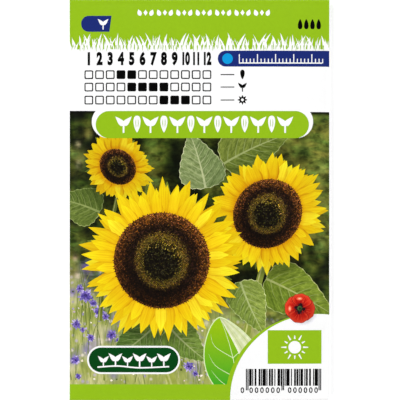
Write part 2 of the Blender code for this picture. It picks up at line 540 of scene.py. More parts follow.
@dataclass(kw_only=True)
class CoatedPaper(Finish):
    """Art paper of 100 g a square metre, coated and rolled smooth.

    It is bright white and satin. Its fibres lie in flocs, which give a faint cloudiness, and they show
    through the coating as a fine relief, drawn at 0.25 mm because a real fibre is too thin to see.
    """

    name: str = "coated_art_paper"
    roughness: float = 0.5
    gloss: float = 0.35
    relief: float = 0.06
    white: str = "#FDFDFD"
    cloud: str = "#F8F8F8"
    floc_mm: float = 2.4
    fibre_mm: float = 0.25

    def surface(self) -> tuple[Source, Source]:
        """Adds the flocs and the fibres.

        Returns:
            The paper's colour, and the height of its fibres.
        """
        flocs, fibres = (
            self.add("TexNoise", {"Vector": self.place, "Scale": per_metre(size), "Detail": detail})
            for size, detail in ((self.floc_mm, 3.0), (self.fibre_mm, 2.0))
        )
        tones = {"Factor": flocs, "A": rgba(self.white), "B": rgba(self.cloud)}
        return self.add("Mix", tones, data_type="RGBA"), fibres


@dataclass(kw_only=True)
class PrintedInk(Finish):
    """Offset ink on coated paper under a thin water-based varnish: satin, and it hardly mirrors."""

    roughness: float = 0.42
    gloss: float = 0.12


@dataclass(kw_only=True)
class SpotInk(PrintedInk):
    """A plain ink: even colour, with a faint mottle where the paper takes more or less of it.

    With a `foot_colour` it blends from that colour at `foot_mm` to its own at `head_mm`, which are
    places along the packet.
    """

    colour: str
    relief: float = 0.05
    foot_colour: str | None = None
    foot_mm: float = 0.0
    head_mm: float = 1.0
    mottle: float = 0.05
    mottle_mm: float = 1.1

    def surface(self) -> tuple[Source, Source]:
        """Adds the mottle, and the blend where there is one.

        Returns:
            The ink's colour, and the height of its mottle.
        """
        scale = per_metre(self.mottle_mm)
        mottle = self.add("TexNoise", {"Vector": self.place, "Scale": scale, "Detail": 4.0})
        tones = []
        for code in (self.foot_colour or self.colour, self.colour):
            thin, full = ([min(1.0, c * (1 + way * self.mottle)) for c in linear(code)] for way in (-1, 1))
            tones.append(self.add("Mix", {"Factor": mottle, "A": (*thin, 1), "B": (*full, 1)},
                                  data_type="RGBA"))
        if self.foot_colour is None:
            return tones[1], mottle
        north = self.add("SeparateXYZ", {"Vector": self.place}).outputs["Y"]
        reach = {"Value": north, "From Min": self.foot_mm * MM, "From Max": self.head_mm * MM}
        blend = {"Factor": self.add("MapRange", reach), "A": tones[0], "B": tones[1]}
        return self.add("Mix", blend, data_type="RGBA"), mottle


@dataclass(kw_only=True)
class PictureInk(PrintedInk):
    """Four-colour offset print of a picture, which has no relief.

    The mesh carries the "tint" of each corner and its "motif": `along` is 0 at a petal's or leaf's foot and
    1 at its tip, `across` is 0 on its axis and 1 or -1 at its edges, and `tone` is its own share of light.
    """

    def __post_init__(self) -> None:
        """Adds what the picture reads from the mesh."""
        super().__post_init__()
        self.tint = self.add("Attribute", attribute_name="tint").outputs["Color"]
        self.motif = self.add("Attribute", attribute_name="motif").outputs["Vector"]
        self.along, self.across, self.tone = self.add("SeparateXYZ", {"Vector": self.motif}).outputs

    def shaded(self, *layers: tuple[Shade, Source]) -> Source:
        """Lays shades over the tint, each by its pattern.

        Args:
            layers: The shades and their patterns.

        Returns:
            The picture's colour.
        """
        colour = self.tint
        for shade, pattern in layers:
            colour = shade.lay(self, colour, pattern)
        return colour


@dataclass(kw_only=True)
class GardenInk(PictureInk):
    """The picture out of focus: sprays of foliage about 4 x 2 mm in the print, and a meadow.

    The meadow, whose share is the tone, has grass blades 0.5 to 1 mm wide, and soft flower heads on about
    half of its 1.9 mm cells.
    """

    name: str = "four_colour_garden"
    spray_mm: Point = (2.6, 1.3)
    spray_turn: float = 0.3
    clump_mm: float = 3.4
    blade_mm: Point = (0.5, 2.4)
    head_mm: float = 1.9
    head_edge: float = 0.42
    head_core: float = 0.12
    head_depth: float = 0.85
    head_lots: Point = (0.42, 0.54)
    blue_head: str = "#8277B4"
    pale_head: str = "#EADFCB"
    light: Shade = Shade((0.34, 0.36, 0.3), (1.75, 1.7, 1.7), 0.8, 1.22)
    hue: Shade = Shade((0.8, 1.02, 0.95), (1.3, 1.0, 1.05), 0.35, 0.65)
    streaks: Shade = Shade((0.68, 0.74, 0.58), (1.3, 1.25, 1.25), 0.3, 0.7)

    def surface(self) -> tuple[Source, None]:
        """Adds the foliage, the meadow, and the blend between them.

        Returns:
            The picture's colour, and no relief.
        """
        wide, high = self.spray_mm
        swept = self.add("Mapping", {
            "Vector": self.place, "Rotation": (0, 0, self.spray_turn),
            "Scale": (per_metre(wide), per_metre(high), 1),
        })
        sprays = self.add("TexNoise", {"Vector": swept, "Scale": 0.6, "Detail": 3.5, "Roughness": 0.6,
                                       "Distortion": 0.7})
        scale = per_metre(self.clump_mm)
        clumps = self.add("TexNoise", {"Vector": self.place, "Scale": scale, "Detail": 2.0})
        drift = self.add("TexNoise", {"Vector": swept, "Scale": 0.35, "Detail": 2.0})
        foliage = self.shaded((self.light, self.add("Math", {0: sprays, 1: clumps})), (self.hue, drift))
        meadow = {"Factor": self.tone, "A": foliage, "B": self.meadow()}
        return self.add("Mix", meadow, data_type="RGBA"), None

    def meadow(self) -> Source:
        """Adds upright streaks of grass, and a soft flower head to some of the cells.

        Returns:
            The meadow's colour.
        """
        stretch = (*(per_metre(size) for size in self.blade_mm), 0)
        upright = self.add("VectorMath", {0: self.place, 1: stretch}, operation="MULTIPLY")
        blades = self.add("TexNoise", {"Vector": upright, "Scale": 0.5, "Detail": 3.0, "Distortion": 0.6})
        cells = self.add("TexVoronoi", {"Vector": self.place, "Scale": per_metre(self.head_mm)})
        reach = {"From Min": self.head_edge, "From Max": self.head_core, "To Max": self.head_depth}
        core = self.add("MapRange", {"Value": cells, **reach}, interpolation_type=Ease.SOFT.value)
        lots = self.add("SeparateColor", {"Color": cells.outputs["Color"]}).outputs
        low, high = self.head_lots
        chosen = self.add("MapRange", {"Value": lots[0], "From Min": low, "From Max": high})
        shown = self.add("Math", {0: core, 1: chosen}, operation="MULTIPLY")
        heads = {"Factor": lots[1], "A": rgba(self.blue_head), "B": rgba(self.pale_head)}
        grass = self.shaded((self.streaks, blades))
        mixed = {"Factor": shown, "A": grass, "B": self.add("Mix", heads, data_type="RGBA")}
        return self.add("Mix", mixed, data_type="RGBA")


@dataclass(kw_only=True)
class PetalInk(PictureInk):
    """A ray petal: deep orange at its foot, fine veins along it, and darker towards its edges."""

    name: str = "four_colour_petals"
    vein_stretch: Colour = (1.1, 5.5, 37.0)
    veins: Shade = Shade((0.92, 0.82, 0.6), (1.02, 1.03, 1.2), 0.34, 0.56)
    rim: Shade = Shade((0.78, 0.6, 0.35), (1.0, 1.0, 1.0), 1.05, 0.6, Ease.SOFT)
    foot: Shade = Shade((0.84, 0.56, 0.3), (1.0, 0.94, 0.9), 0.08, 0.38, Ease.SOFT)
    tip: Shade = Shade((1.0, 1.0, 1.0), (1.02, 1.2, 1.25), 0.4, 0.92, Ease.SOFT)
    light: Shade = Shade((0.84, 0.72, 0.55), (1.04, 1.04, 1.1))

    def surface(self) -> tuple[Source, None]:
        """Adds the veins and the shades over them.

        Returns:
            The petal's colour, and no relief.
        """
        stretched = self.add("VectorMath", {0: self.motif, 1: self.vein_stretch}, operation="MULTIPLY")
        veins = self.add("TexNoise", {"Vector": stretched, "Scale": 1.0, "Detail": 3.0, "Roughness": 0.55})
        off_axis = self.add("Math", {0: self.across}, operation="ABSOLUTE")
        return self.shaded((self.veins, veins), (self.rim, off_axis), (self.foot, self.along),
                           (self.tip, self.along), (self.light, self.tone)), None


@dataclass(kw_only=True)
class FloretInk(PictureInk):
    """A disc floret: its own tint, dusted with pollen in grains of about 0.3 mm.

    Its tone says how much pollen it has, from none at 0 to all at `full_dust`.
    """

    name: str = "four_colour_discs"
    dust_mm: float = 0.5
    full_dust: float = 0.5
    dust: Shade = Shade((0.6, 0.6, 0.6), (1.45, 1.4, 1.3), 0.35, 0.65)

    def surface(self) -> tuple[Source, None]:
        """Adds the dust.

        Returns:
            The floret's colour, and no relief.
        """
        scale = per_metre(self.dust_mm)
        grains = self.add("TexNoise", {"Vector": self.place, "Scale": scale, "Detail": 2.0})
        amount = self.add("MapRange", {"Value": self.tone, "From Max": self.full_dust})
        dusted = {"Factor": amount, "A": self.tint, "B": self.shaded((self.dust, grains))}
        return self.add("Mix", dusted, data_type="RGBA"), None


@dataclass(kw_only=True)
class LeafInk(PictureInk):
    """A leaf: quilted between its veins, darker along one half, rough, and netted with pale veinlets."""

    name: str = "four_colour_leaves"
    vein_slant: float = -0.35
    quilt_turns: float = 6.5
    grain_stretch: Colour = (26.0, 3.4, 0)
    net_stretch: Colour = (15.0, 5.5, 0)
    mottle_mm: float = 1.6
    quilt: Shade = Shade((0.86, 0.88, 0.86), (1.08, 1.08, 1.08), -1.0, 1.0)
    halves: Shade = Shade((0.82, 0.86, 0.8), (1.08, 1.06, 1.08), -0.25, 0.25, Ease.SOFT)
    grain: Shade = Shade((0.62, 0.66, 0.46), (1.38, 1.32, 1.32), 0.32, 0.68)
    net: Shade = Shade((1.32, 1.24, 1.36), (0.96, 0.96, 0.93), 0.0, 0.16)
    mottle: Shade = Shade((0.7, 0.74, 0.66), (1.28, 1.24, 1.26))

    def surface(self) -> tuple[Source, None]:
        """Adds the patterns, each laid out along the slant of the side veins, and their shades.

        Returns:
            The leaf's colour, and no relief.
        """
        off_axis = self.add("Math", {0: self.across}, operation="ABSOLUTE")
        slanted = self.add("Math", {0: off_axis, 1: self.vein_slant, 2: self.along},
                           operation="MULTIPLY_ADD")
        turns = self.add("Math", {0: slanted, 1: 2 * math.pi * self.quilt_turns}, operation="MULTIPLY")
        quilt = self.add("Math", {0: turns}, operation="SINE")
        along = self.add("CombineXYZ", {"X": slanted, "Y": self.across})
        grain_place, net_place = (self.add("VectorMath", {0: along, 1: stretch}, operation="MULTIPLY")
                                  for stretch in (self.grain_stretch, self.net_stretch))
        grain = self.add("TexNoise", {"Vector": grain_place, "Scale": 1.0, "Detail": 3.0,
                                      "Roughness": 0.65, "Distortion": 0.6})
        net = self.add("TexVoronoi", {"Vector": net_place, "Scale": 1.0},
                       feature="DISTANCE_TO_EDGE", voronoi_dimensions="2D")
        scale = per_metre(self.mottle_mm)
        mottle = self.add("TexNoise", {"Vector": self.place, "Scale": scale, "Detail": 4.0})
        return self.shaded((self.quilt, quilt), (self.halves, self.across), (self.grain, grain),
                           (self.net, net), (self.mottle, mottle)), None


@dataclass(kw_only=True)
class StripedHusk(Finish):
    """Sunflower husk, as grown and dried: matt and nearly black, with pale stripes along the seed."""

    turn: float
    middle: Point
    roughness: float = 0.62
    relief: float = 0.3
    relief_mm: float = 0.1
    dark: str = "#26221F"
    pale: str = "#C9C3B6"
    stripe_mm: float = 1.5
    waver_mm: float = 3.0
    stripe_edge: Point = (0.35, 0.75)

    def surface(self) -> tuple[Source, Source]:
        """Adds the stripes, which run along the seed as it lies.

        Returns:
            The husk's colour, and the height of its ribs.
        """
        x, y = self.middle
        lying = self.add("Mapping", {"Vector": self.place, "Location": (-x * MM, -y * MM, 0)})
        turned = self.add("VectorRotate", {"Vector": lying, "Angle": -self.turn}, rotation_type="Z_AXIS")
        sideways = self.add("SeparateXYZ", {"Vector": turned}).outputs["Y"]
        waver = self.add("TexNoise", {"Vector": turned, "Scale": per_metre(self.waver_mm), "Detail": 3.0})
        phase = self.add("Math", {0: sideways, 1: 2 * math.pi * per_metre(self.stripe_mm), 2: waver},
                         operation="MULTIPLY_ADD")
        ribs = self.add("Math", {0: phase}, operation="SINE")
        low, high = self.stripe_edge
        stripe = self.add("MapRange", {"Value": ribs, "From Min": low, "From Max": high})
        tones = {"Factor": stripe, "A": rgba(self.dark), "B": rgba(self.pale)}
        return self.add("Mix", tones, data_type="RGBA"), ribs


# ---------------------------------------------------------------- flat shapes


def polar(x: float, y: float, angle: float, away: float) -> Point:
    """The place that lies this far away in this direction."""
    return x + away * math.cos(angle), y + away * math.sin(angle)


def circle(x: float, y: float, across: float, along: float | None = None, count: int = 28) -> Array:
    """A circle's or an ellipse's outline."""
    turns = np.arange(count) * 2 * math.pi / count
    return np.stack([x + across * np.cos(turns), y + (along or across) * np.sin(turns)], 1)


def rectangle(left: float, foot: float, right: float, top: float) -> Array:
    """A rectangle's outline."""
    return np.array([(left, foot), (right, foot), (right, top), (left, top)])


def rounded(left: float, foot: float, right: float, top: float, corner: float,
            left_end: bool = True, right_end: bool = True, count: int = 8) -> Array:
    """Outlines a rectangle with round corners.

    Args:
        left, foot, right, top: Its sides.
        corner: The corners' radius.
        left_end, right_end: Which ends have round corners.
        count: Steps in a corner.

    Returns:
        The outline.
    """
    places = []
    for quarter, (x, way_x, y, way_y, is_round) in enumerate((
        (right, -1, top, -1, right_end), (left, 1, top, -1, left_end),
        (left, 1, foot, 1, left_end), (right, -1, foot, 1, right_end),
    )):
        if is_round:
            middle = x + way_x * corner, y + way_y * corner
            places += [polar(*middle, math.pi / 2 * (quarter + i / count), corner) for i in range(count + 1)]
        else:
            places.append((x, y))
    return np.array(places)


def ribbon(route: Sequence[Point], widths: Sequence[float]) -> Array:
    """Outlines a band along a route.

    Args:
        route: Points of its middle.
        widths: Its width at each point. 0 at an end makes a point.

    Returns:
        The outline.
    """
    line = np.array(route, float)
    way = np.gradient(line, axis=0)
    way /= np.maximum(np.linalg.norm(way, axis=1, keepdims=True), 1e-9)
    side = np.stack([-way[:, 1], way[:, 0]], 1) * np.array(widths)[:, None] / 2
    left, right = line + side, line - side
    outline = [*right, *(left[::-1] if widths[-1] > 0 else left[-2::-1])]
    return np.array(outline if widths[0] > 0 else outline[:-1])


def curve(points: Sequence[Point], count: int) -> list[Point]:
    """Lays a smooth curve through some points.

    Args:
        points: Three points or more.
        count: How many places to give along it.

    Returns:
        Evenly spaced places from the first point to the last.
    """
    line = np.array(points, float)
    spans = np.concatenate([[0], np.cumsum(np.linalg.norm(np.diff(line, axis=0), axis=1))])
    padded = np.vstack([2 * line[0] - line[1], line, 2 * line[-1] - line[-2]])
    places = []
    for step in np.linspace(0, spans[-1], count):
        i = min(int(np.searchsorted(spans, step, side="right")) - 1, len(line) - 2)
        u = (step - spans[i]) / (spans[i + 1] - spans[i])
        a, b, c, d = padded[i : i + 4]
        square, cube = 2 * a - 5 * b + 4 * c - d, 3 * b - a - 3 * c + d
        place = 0.5 * (2 * b + (c - a) * u + square * u**2 + cube * u**3)
        places.append((float(place[0]), float(place[1])))
    return places


def petal_profile(share: Array) -> Array:
    """Half width of a ray petal along its length: narrow foot, widest past the middle, pointed tip."""
    return 1 - np.abs(2 * share**0.75 - 1) ** 1.8


def leaf_profile(share: Array) -> Array:
    """Half width of a sunflower leaf: broad near its foot, drawn out to a point."""
    return np.sin(math.pi * share**0.55) ** 0.8 * (1 - 0.25 * share)


def drop_profile(share: Array) -> Array:
    """Half width of a plain leaf like a drop: full, and pointed at its tip only."""
    return np.sin(math.pi * share**0.8) ** 0.65


def oval_profile(share: Array) -> Array:
    """Half width of an oval."""
    return 2 * np.sqrt(share * (1 - share))


def seed_profile(share: Array) -> Array:
    """Half width of a seed: pointed at one end and blunt at the other."""
    widest = 0.5291
    return (share**0.8 * (1 - share) ** 0.4) / widest


def spindle(x: float, y: float, angle: float, length: float, half_width: float, profile: Profile,
            bend: float = 0.0, count: int = 9) -> Array:
    """Outlines a shape that is even about its long axis, such as a petal, leaf or seed.

    Args:
        x, y: Its foot.
        angle: The direction that it grows in.
        length: Foot to tip.
        half_width: Half its greatest width.
        profile: Share along to share of the half width.
        bend: How far its tip is carried sideways.
        count: Steps from foot to tip.

    Returns:
        The outline.
    """
    share = (1 - np.cos(np.linspace(0, math.pi, count + 1))) / 2
    width = half_width * profile(share[1:-1])
    swing = bend * share**2
    up = np.stack([share[1:-1] * length, swing[1:-1] - width], 1)
    down = np.stack([share[1:-1] * length, swing[1:-1] + width], 1)[::-1]
    flat = np.vstack([[(0, 0)], up, [(length, bend)], down])
    cos, sin = math.cos(angle), math.sin(angle)
    return flat @ np.array([[cos, sin], [-sin, cos]]) + (x, y)


def motif_axes(x: float, y: float, angle: float, length: float, half_width: float) -> Array:
    """Works out how far along and across a petal or leaf a place is.

    Args:
        x, y: Its foot.
        angle: The direction that it grows in.
        length: Foot to tip.
        half_width: Half its greatest width.

    Returns:
        Two rows of factors of (x, y, 1): one for along and one for across.
    """
    cos, sin = math.cos(angle), math.sin(angle)
    along = np.array([cos, sin, -(x * cos + y * sin)]) / length
    across = np.array([-sin, cos, x * sin - y * cos]) / half_width
    return np.stack([along, across])


# ---------------------------------------------------------------- painting and cutting


class Ink(Enum):
    """What a shape is printed with. Each ink is one piece of each side's print."""

    BARE = "bare"
    GREEN = "light_green"
    NAVY = "navy"
    CYAN = "cyan"
    BLACK = "black"
    DEEP_GREEN = "deep_green"
    PALE_GREEN = "pale_green"
    MID_GREEN = "mid_green"
    GARDEN = "garden"
    LEAVES = "leaves"
    PETALS = "petals"
    DISCS = "discs"


PICTURE_INKS = (Ink.GARDEN, Ink.LEAVES, Ink.PETALS, Ink.DISCS)


@dataclass
class Shape:
    """One printed shape: its outline, its ink, its tint, and how places within it are measured."""

    outline: Array
    ink: Ink
    tint: Colour = (1.0, 1.0, 1.0)
    axes: Array = field(default_factory=lambda: np.zeros((2, 3)))
    tone: float = 0.5


@dataclass
class Mosaic:
    """A flat partition: points, triangles, and the number of the shape that shows in each triangle."""

    points: Array
    triangles: Array
    owner: Array


@dataclass
class Artwork:
    """Shapes in painting order, each over those before it.

    `chance` is the source of small irregularities. What uses it sets its seed first.
    """

    shapes: list[Shape] = field(default_factory=list)
    chance: random.Random = field(default_factory=random.Random)
    cap_height: float = 0.7
    smallest_figure_face: float = 1e-5

    def paint(self, outline: Array, ink: Ink, tint: str | Colour = (1.0, 1.0, 1.0),
              axes: Array | None = None, tone: float = 0.5) -> None:
        """Lays a shape over those before it.

        Args:
            outline: Its corners, in either direction.
            ink: What it is printed with.
            tint: Its colour, where its ink takes one, as hex or linear.
            axes: How places within it are measured.
            tone: From 0, dark, to 1, light.
        """
        turned = np.roll(outline, -1, 0)
        area = (outline[:, 0] * turned[:, 1] - outline[:, 1] * turned[:, 0]).sum()
        if area < 0:
            outline = outline[::-1]
        colour = linear(tint) if isinstance(tint, str) else tint
        axes = np.zeros((2, 3)) if axes is None else axes
        self.shapes.append(Shape(outline, ink, colour, axes, tone))

    def numeral(self, text: str, x: float, y: float, height: float, narrow: float,
                weight: float = 0.02) -> None:
        """Paints plain black figures.

        Args:
            text: The figures.
            x, y: The middle of their foot.
            height: The figures' height.
            narrow: Their width as a share of the typeface's.
            weight: How much bolder they are than the typeface's.
        """
        curve_data = bpy.data.curves.new("figures", "FONT")
        curve_data.body = text
        curve_data.align_x = "CENTER"
        curve_data.offset = weight
        curve_data.resolution_u = 4
        letters = bpy.data.objects.new("figures", curve_data)
        bpy.context.scene.collection.objects.link(letters)
        mesh = letters.evaluated_get(bpy.context.evaluated_depsgraph_get()).to_mesh()
        scale = height / self.cap_height
        corners = np.array([(v.co.x * scale * narrow + x, v.co.y * scale + y) for v in mesh.vertices])
        for polygon in mesh.polygons:
            if polygon.area > self.smallest_figure_face:
                self.paint(corners[list(polygon.vertices)], Ink.BLACK)
        bpy.data.objects.remove(letters)
        bpy.data.curves.remove(curve_data)

    def sprout(self, x: float, y: float, height: float, ink: Ink = Ink.BARE) -> None:
        """Paints a seedling: a stem with two leaves.

        Args:
            x, y: Its foot.
            height: Its height without the leaves' tips.
            ink: What it is printed with.
        """
        self.paint(ribbon([(x, y), (x, y + height * 0.6)], [height * 0.1, height * 0.1]), ink)
        for side in (-1, 1):
            angle = math.pi / 2 - side * 0.75
            size = height * 0.66, height * 0.17
            self.paint(spindle(x, y + height * 0.42, angle, *size, leaf_profile, count=8), ink)

    def seed(self, x: float, y: float, height: float, half_width: float, ink: Ink, way: int = 1,
             count: int = 8) -> None:
        """Paints a seed or a drop from its pointed end: upwards where way is 1, downwards where it is -1."""
        self.paint(spindle(x, y, way * math.pi / 2, height, half_width, seed_profile, count=count), ink)

    def rays(self, x: float, y: float, near: float, far: Sequence[float], widths: Point, count: int,
             ink: Ink) -> None:
        """Paints straight rays round a sign of the sun.

        Args:
            x, y: The sun's middle.
            near: Where the rays start.
            far: Where they end, taken in turn.
            widths: A ray's width at its two ends.
            count: How many rays.
            ink: What they are printed with.
        """
        for i in range(count):
            angle = i * 2 * math.pi / count
            route = [polar(x, y, angle, reach) for reach in (near, far[i % len(far)])]
            self.paint(ribbon(route, widths), ink)

    def cut(self, s_lines: Sequence[float], t_lines: Sequence[float]) -> Mosaic:
        """Cuts the painting to a flat mosaic, with the paper's own grid in it so that it can fold.

        Args:
            s_lines: Grid lines across.
            t_lines: Grid lines along.

        Returns:
            The mosaic.
        """
        points, edges, faces = [], [], []
        for s in s_lines:
            edges.append((len(points), len(points) + 1))
            points += [(s, min(t_lines)), (s, max(t_lines))]
        for t in t_lines:
            edges.append((len(points), len(points) + 1))
            points += [(min(s_lines), t), (max(s_lines), t)]
        for shape in self.shapes:
            faces.append(list(range(len(points), len(points) + len(shape.outline))))
            points += shape.outline.tolist()
        found = delaunay_2d_cdt([Vector(point) for point in points], edges, faces, 1, 1e-5, True)
        owner = np.array([max(covering, default=-1) for covering in found[5]])
        return Mosaic(np.array([tuple(p) for p in found[0]]), np.array(found[2]), owner)


@dataclass(frozen=True)
class Bleed:
    """The flat edges that the front's print reaches, past the folds."""

    left: float
    foot: float
    right: float
    top: float


@dataclass
class PrintElement:
    """A part of the print, which paints itself on the artwork."""

    art: Artwork

    def paint(self) -> None:
        """Paints the element over those before it."""
        raise NotImplementedError


# ---------------------------------------------------------------- the picture


@dataclass
class Bloom(PrintElement):
    """A sunflower head: layers of ray petals round a disc of florets."""

    x: float
    y: float
    radius: float
    disc: float
    rays: int
    florets: int
    squash: float = 1.0
    squash_turn: float = 0.0
    shade: float = 0.0
    layers: tuple[Point, ...] = ((1.0, 0.3), (0.98, 0.6), (0.92, 0.85))
    bract_tint: str = "#7C8A34"
    bract_slim: float = 0.24
    ray_foot: float = 0.86
    ray_tints: tuple[str, ...] = ("#ECC80E", "#F4D612", "#F7E424", "#F0CE0C")
    ground: str = "#120B07"
    fringe: float = 0.95
    zones: tuple[tuple[float, str], ...] = (
        (0.00, "#1A180D"), (0.36, "#201F0D"), (0.44, "#5A4D1B"), (0.52, "#786024"), (0.57, "#54401A"),
        (0.62, "#24150C"), (0.74, "#2A180D"), (0.84, "#5A3416"), (1.00, "#7C4A1E"),
    )

    def seen(self, outline: Array) -> Array:
        """Squashes an outline, as the head is turned a little away.

        Args:
            outline: The outline on a head that faces the eye.

        Returns:
            The outline as seen.
        """
        cos, sin = math.cos(self.squash_turn), math.sin(self.squash_turn)
        turned = np.array([[cos, sin], [-sin, cos]])
        shrink = turned.T @ np.diag([1.0, self.squash]) @ turned
        middle = np.array([self.x, self.y])
        return (outline - middle) @ shrink.T + middle

    def paint(self) -> None:
        """Paints the head."""
        self.paint_bracts()
        for layer in range(len(self.layers)):
            self.paint_rays(layer)
        self.paint_disc()
        self.paint_florets()

    def paint_bracts(self) -> None:
        """Paints the green bracts behind the rays, of which only some tips show."""
        draw = self.art.chance
        count = self.rays // 2
        for i in range(count):
            angle = 2 * math.pi * (i + draw.uniform(-0.3, 0.3)) / count
            foot = polar(self.x, self.y, angle, self.disc)
            length = (self.radius - self.disc) * draw.uniform(0.7, 0.98)
            size = angle, length, length * self.bract_slim
            outline = self.seen(spindle(*foot, *size, leaf_profile))
            self.art.paint(outline, Ink.LEAVES, self.bract_tint, motif_axes(*foot, *size))

    def paint_rays(self, layer: int) -> None:
        """Paints one layer of ray petals.

        Args:
            layer: The layer's number. The last is the front one, where some petals are short.
        """
        draw = self.art.chance
        reach, tone = self.layers[layer]
        foot = self.disc * self.ray_foot
        order = list(range(self.rays))
        draw.shuffle(order)
        for i in order:
            angle = 2 * math.pi / self.rays * (i + layer / len(self.layers) + draw.uniform(-0.28, 0.28))
            length = self.radius * reach * draw.uniform(0.9, 1.05) - foot
            if layer == len(self.layers) - 1 and draw.random() < 0.2:
                length *= draw.uniform(0.78, 0.9)
            half = self.radius * math.pi / self.rays * draw.uniform(0.7, 1.0)
            x, y = polar(self.x, self.y, angle, foot)
            lean = angle + draw.uniform(-0.1, 0.1)
            bend = draw.uniform(-0.09, 0.09) * length
            outline = self.seen(spindle(x, y, lean, length, half, petal_profile, bend))
            tint = np.array(linear(draw.choice(self.ray_tints))) * (1 - self.shade)
            axes = motif_axes(x, y, lean + math.atan2(bend, length) * 0.6, length, half)
            self.art.paint(outline, Ink.PETALS, tuple(tint), axes, min(1, tone * draw.uniform(0.8, 1.15)))

    def zone_tint(self, share: float) -> Array:
        """The florets' colour at this share of the disc's radius."""
        colours = zip(*(linear(code) for _, code in self.zones))
        return np.array([np.interp(share, [stop for stop, _ in self.zones], part) for part in colours])

    def paint_disc(self) -> None:
        """Paints the disc's dark ground and the fringe of young florets round it."""
        self.art.paint(self.seen(circle(self.x, self.y, self.disc, count=60)), Ink.DISCS, self.ground)
        draw = self.art.chance
        count = self.rays * 3
        for i in range(count):
            angle = 2 * math.pi * (i + draw.uniform(-0.3, 0.3)) / count
            length, half = self.disc * draw.uniform(0.06, 0.09), self.disc * 0.02
            outline = spindle(*polar(self.x, self.y, angle, self.disc * self.fringe), angle, length, half,
                              petal_profile, count=4)
            tint = self.zone_tint(self.fringe) * draw.uniform(0.5, 1.1)
            self.art.paint(self.seen(outline), Ink.DISCS, tuple(tint))

    def paint_florets(self) -> None:
        """Paints the florets on their spiral."""
        draw = self.art.chance
        size = self.disc * math.sqrt(math.pi / self.florets) * 0.5
        for i in range(1, self.florets):
            share = math.sqrt(i / self.florets) + draw.gauss(0, 0.15) / math.sqrt(self.florets)
            angle = i * GOLDEN_ANGLE
            tint = self.floret_tint(share, angle)
            wide, high = size * draw.uniform(0.75, 1.1), size * draw.uniform(0.75, 1.1)
            outline = circle(*polar(self.x, self.y, angle, self.disc * share), wide, high, 5)
            self.art.paint(self.seen(outline), Ink.DISCS, tuple(np.minimum(tint * (1 - self.shade), 1)))

    def floret_tint(self, share: float, angle: float) -> Array:
        """Mixes a floret's colour: its zone's, brighter towards the light above, with sparks of pollen.

        Few of the tight florets in the middle are bright, but those few are much brighter.

        Args:
            share: How far out it is, as a share of the disc's radius.
            angle: Its direction from the disc's middle.

        Returns:
            The linear colour.
        """
        draw = self.art.chance
        upward = math.sin(angle + 0.35)
        strayed = share + draw.gauss(0, 0.022) + (0.02 * math.sin(2 * angle + 1.1) if share < 0.7 else 0)
        strayed += 1.7 * share * max(0.0, 1 - share / 0.65) ** 2 * max(0.0, upward)
        slope = 0.3 if share < 0.6 else 0.72 if upward > 0 else 0.9
        least, spark, rarity = (
            (0.15, 4.5, 3.5) if share < 0.4 else (0.5, 1.2, 1.0) if 0.42 < share < 0.62 else (0.3, 2.0, 1.8)
        )
        sparkle = least + spark * draw.random() ** rarity
        hue = np.array([draw.uniform(0.88, 1.1), draw.uniform(0.88, 1.12), draw.uniform(0.3, 1.6)])
        return self.zone_tint(strayed) * sparkle * (1 + slope * share**0.7 * upward) * hue


@dataclass
class Leaf(PrintElement):
    """A broad leaf with a midrib and side veins."""

    x: float
    y: float
    angle: float
    length: float
    half_width: float
    bend: float
    tint: str
    vein: str
    teeth: float = 0.35
    margin: float = 0.22
    rib_width: Point = (0.75, 0.12)
    vein_width: float = 0.34
    vein_pairs: int = 6
    first_vein: float = 0.06
    vein_span: float = 0.74

    def paint(self) -> None:
        """Paints the blade and its veins."""
        size = self.angle, self.length, self.half_width
        outline = spindle(self.x, self.y, *size, leaf_profile, self.bend, 26)
        outward = outline - outline.mean(0)
        outward /= np.maximum(np.linalg.norm(outward, axis=1, keepdims=True), 1e-9)
        toothed = outline + outward * (np.arange(len(outline)) % 2)[:, None] * self.teeth
        swung = self.angle + math.atan2(self.bend, self.length) * 0.6
        axes = motif_axes(self.x, self.y, swung, self.length, self.half_width)
        self.art.paint(toothed, Ink.LEAVES, self.vein, axes)
        self.art.paint(toothed - outward * self.margin, Ink.LEAVES, self.tint, axes)
        self.paint_veins()

    def along_rib(self, share: float) -> Array:
        """Finds a place on the midrib.

        Args:
            share: How far along it the place is, from 0 at its foot to 1 at its tip.

        Returns:
            The place.
        """
        cos, sin = math.cos(self.angle), math.sin(self.angle)
        out, side = share * self.length, self.bend * share**2
        return np.array([self.x + out * cos - side * sin, self.y + out * sin + side * cos])

    def paint_veins(self) -> None:
        """Paints the veins that leave the midrib in pairs, and the midrib over them."""
        soft = tuple(0.45 * np.array(linear(self.tint)) + 0.55 * np.array(linear(self.vein)))
        for i in range(self.vein_pairs):
            share = self.first_vein + self.vein_span * i / self.vein_pairs
            foot = self.along_rib(share)
            width = self.half_width * float(leaf_profile(np.array([min(0.95, share + 0.12)]))[0]) * 0.9
            spread = 0.95 - 0.35 * share
            reach = width / math.sin(spread)
            for side in (-1, 1):
                heading = self.angle + side * spread
                elbow = polar(*foot, heading, 0.5 * reach)
                tip = polar(*elbow, heading - side * 0.3, 0.45 * reach)
                widths = np.linspace(self.vein_width, 0.0, 6).tolist()
                self.art.paint(ribbon(curve([tuple(foot), elbow, tip], 6), widths), Ink.LEAVES, soft)
        rib = [tuple(self.along_rib(share)) for share in np.linspace(0, 0.96, 9)]
        self.art.paint(ribbon(rib, np.linspace(*self.rib_width, 9).tolist()), Ink.LEAVES, self.vein)


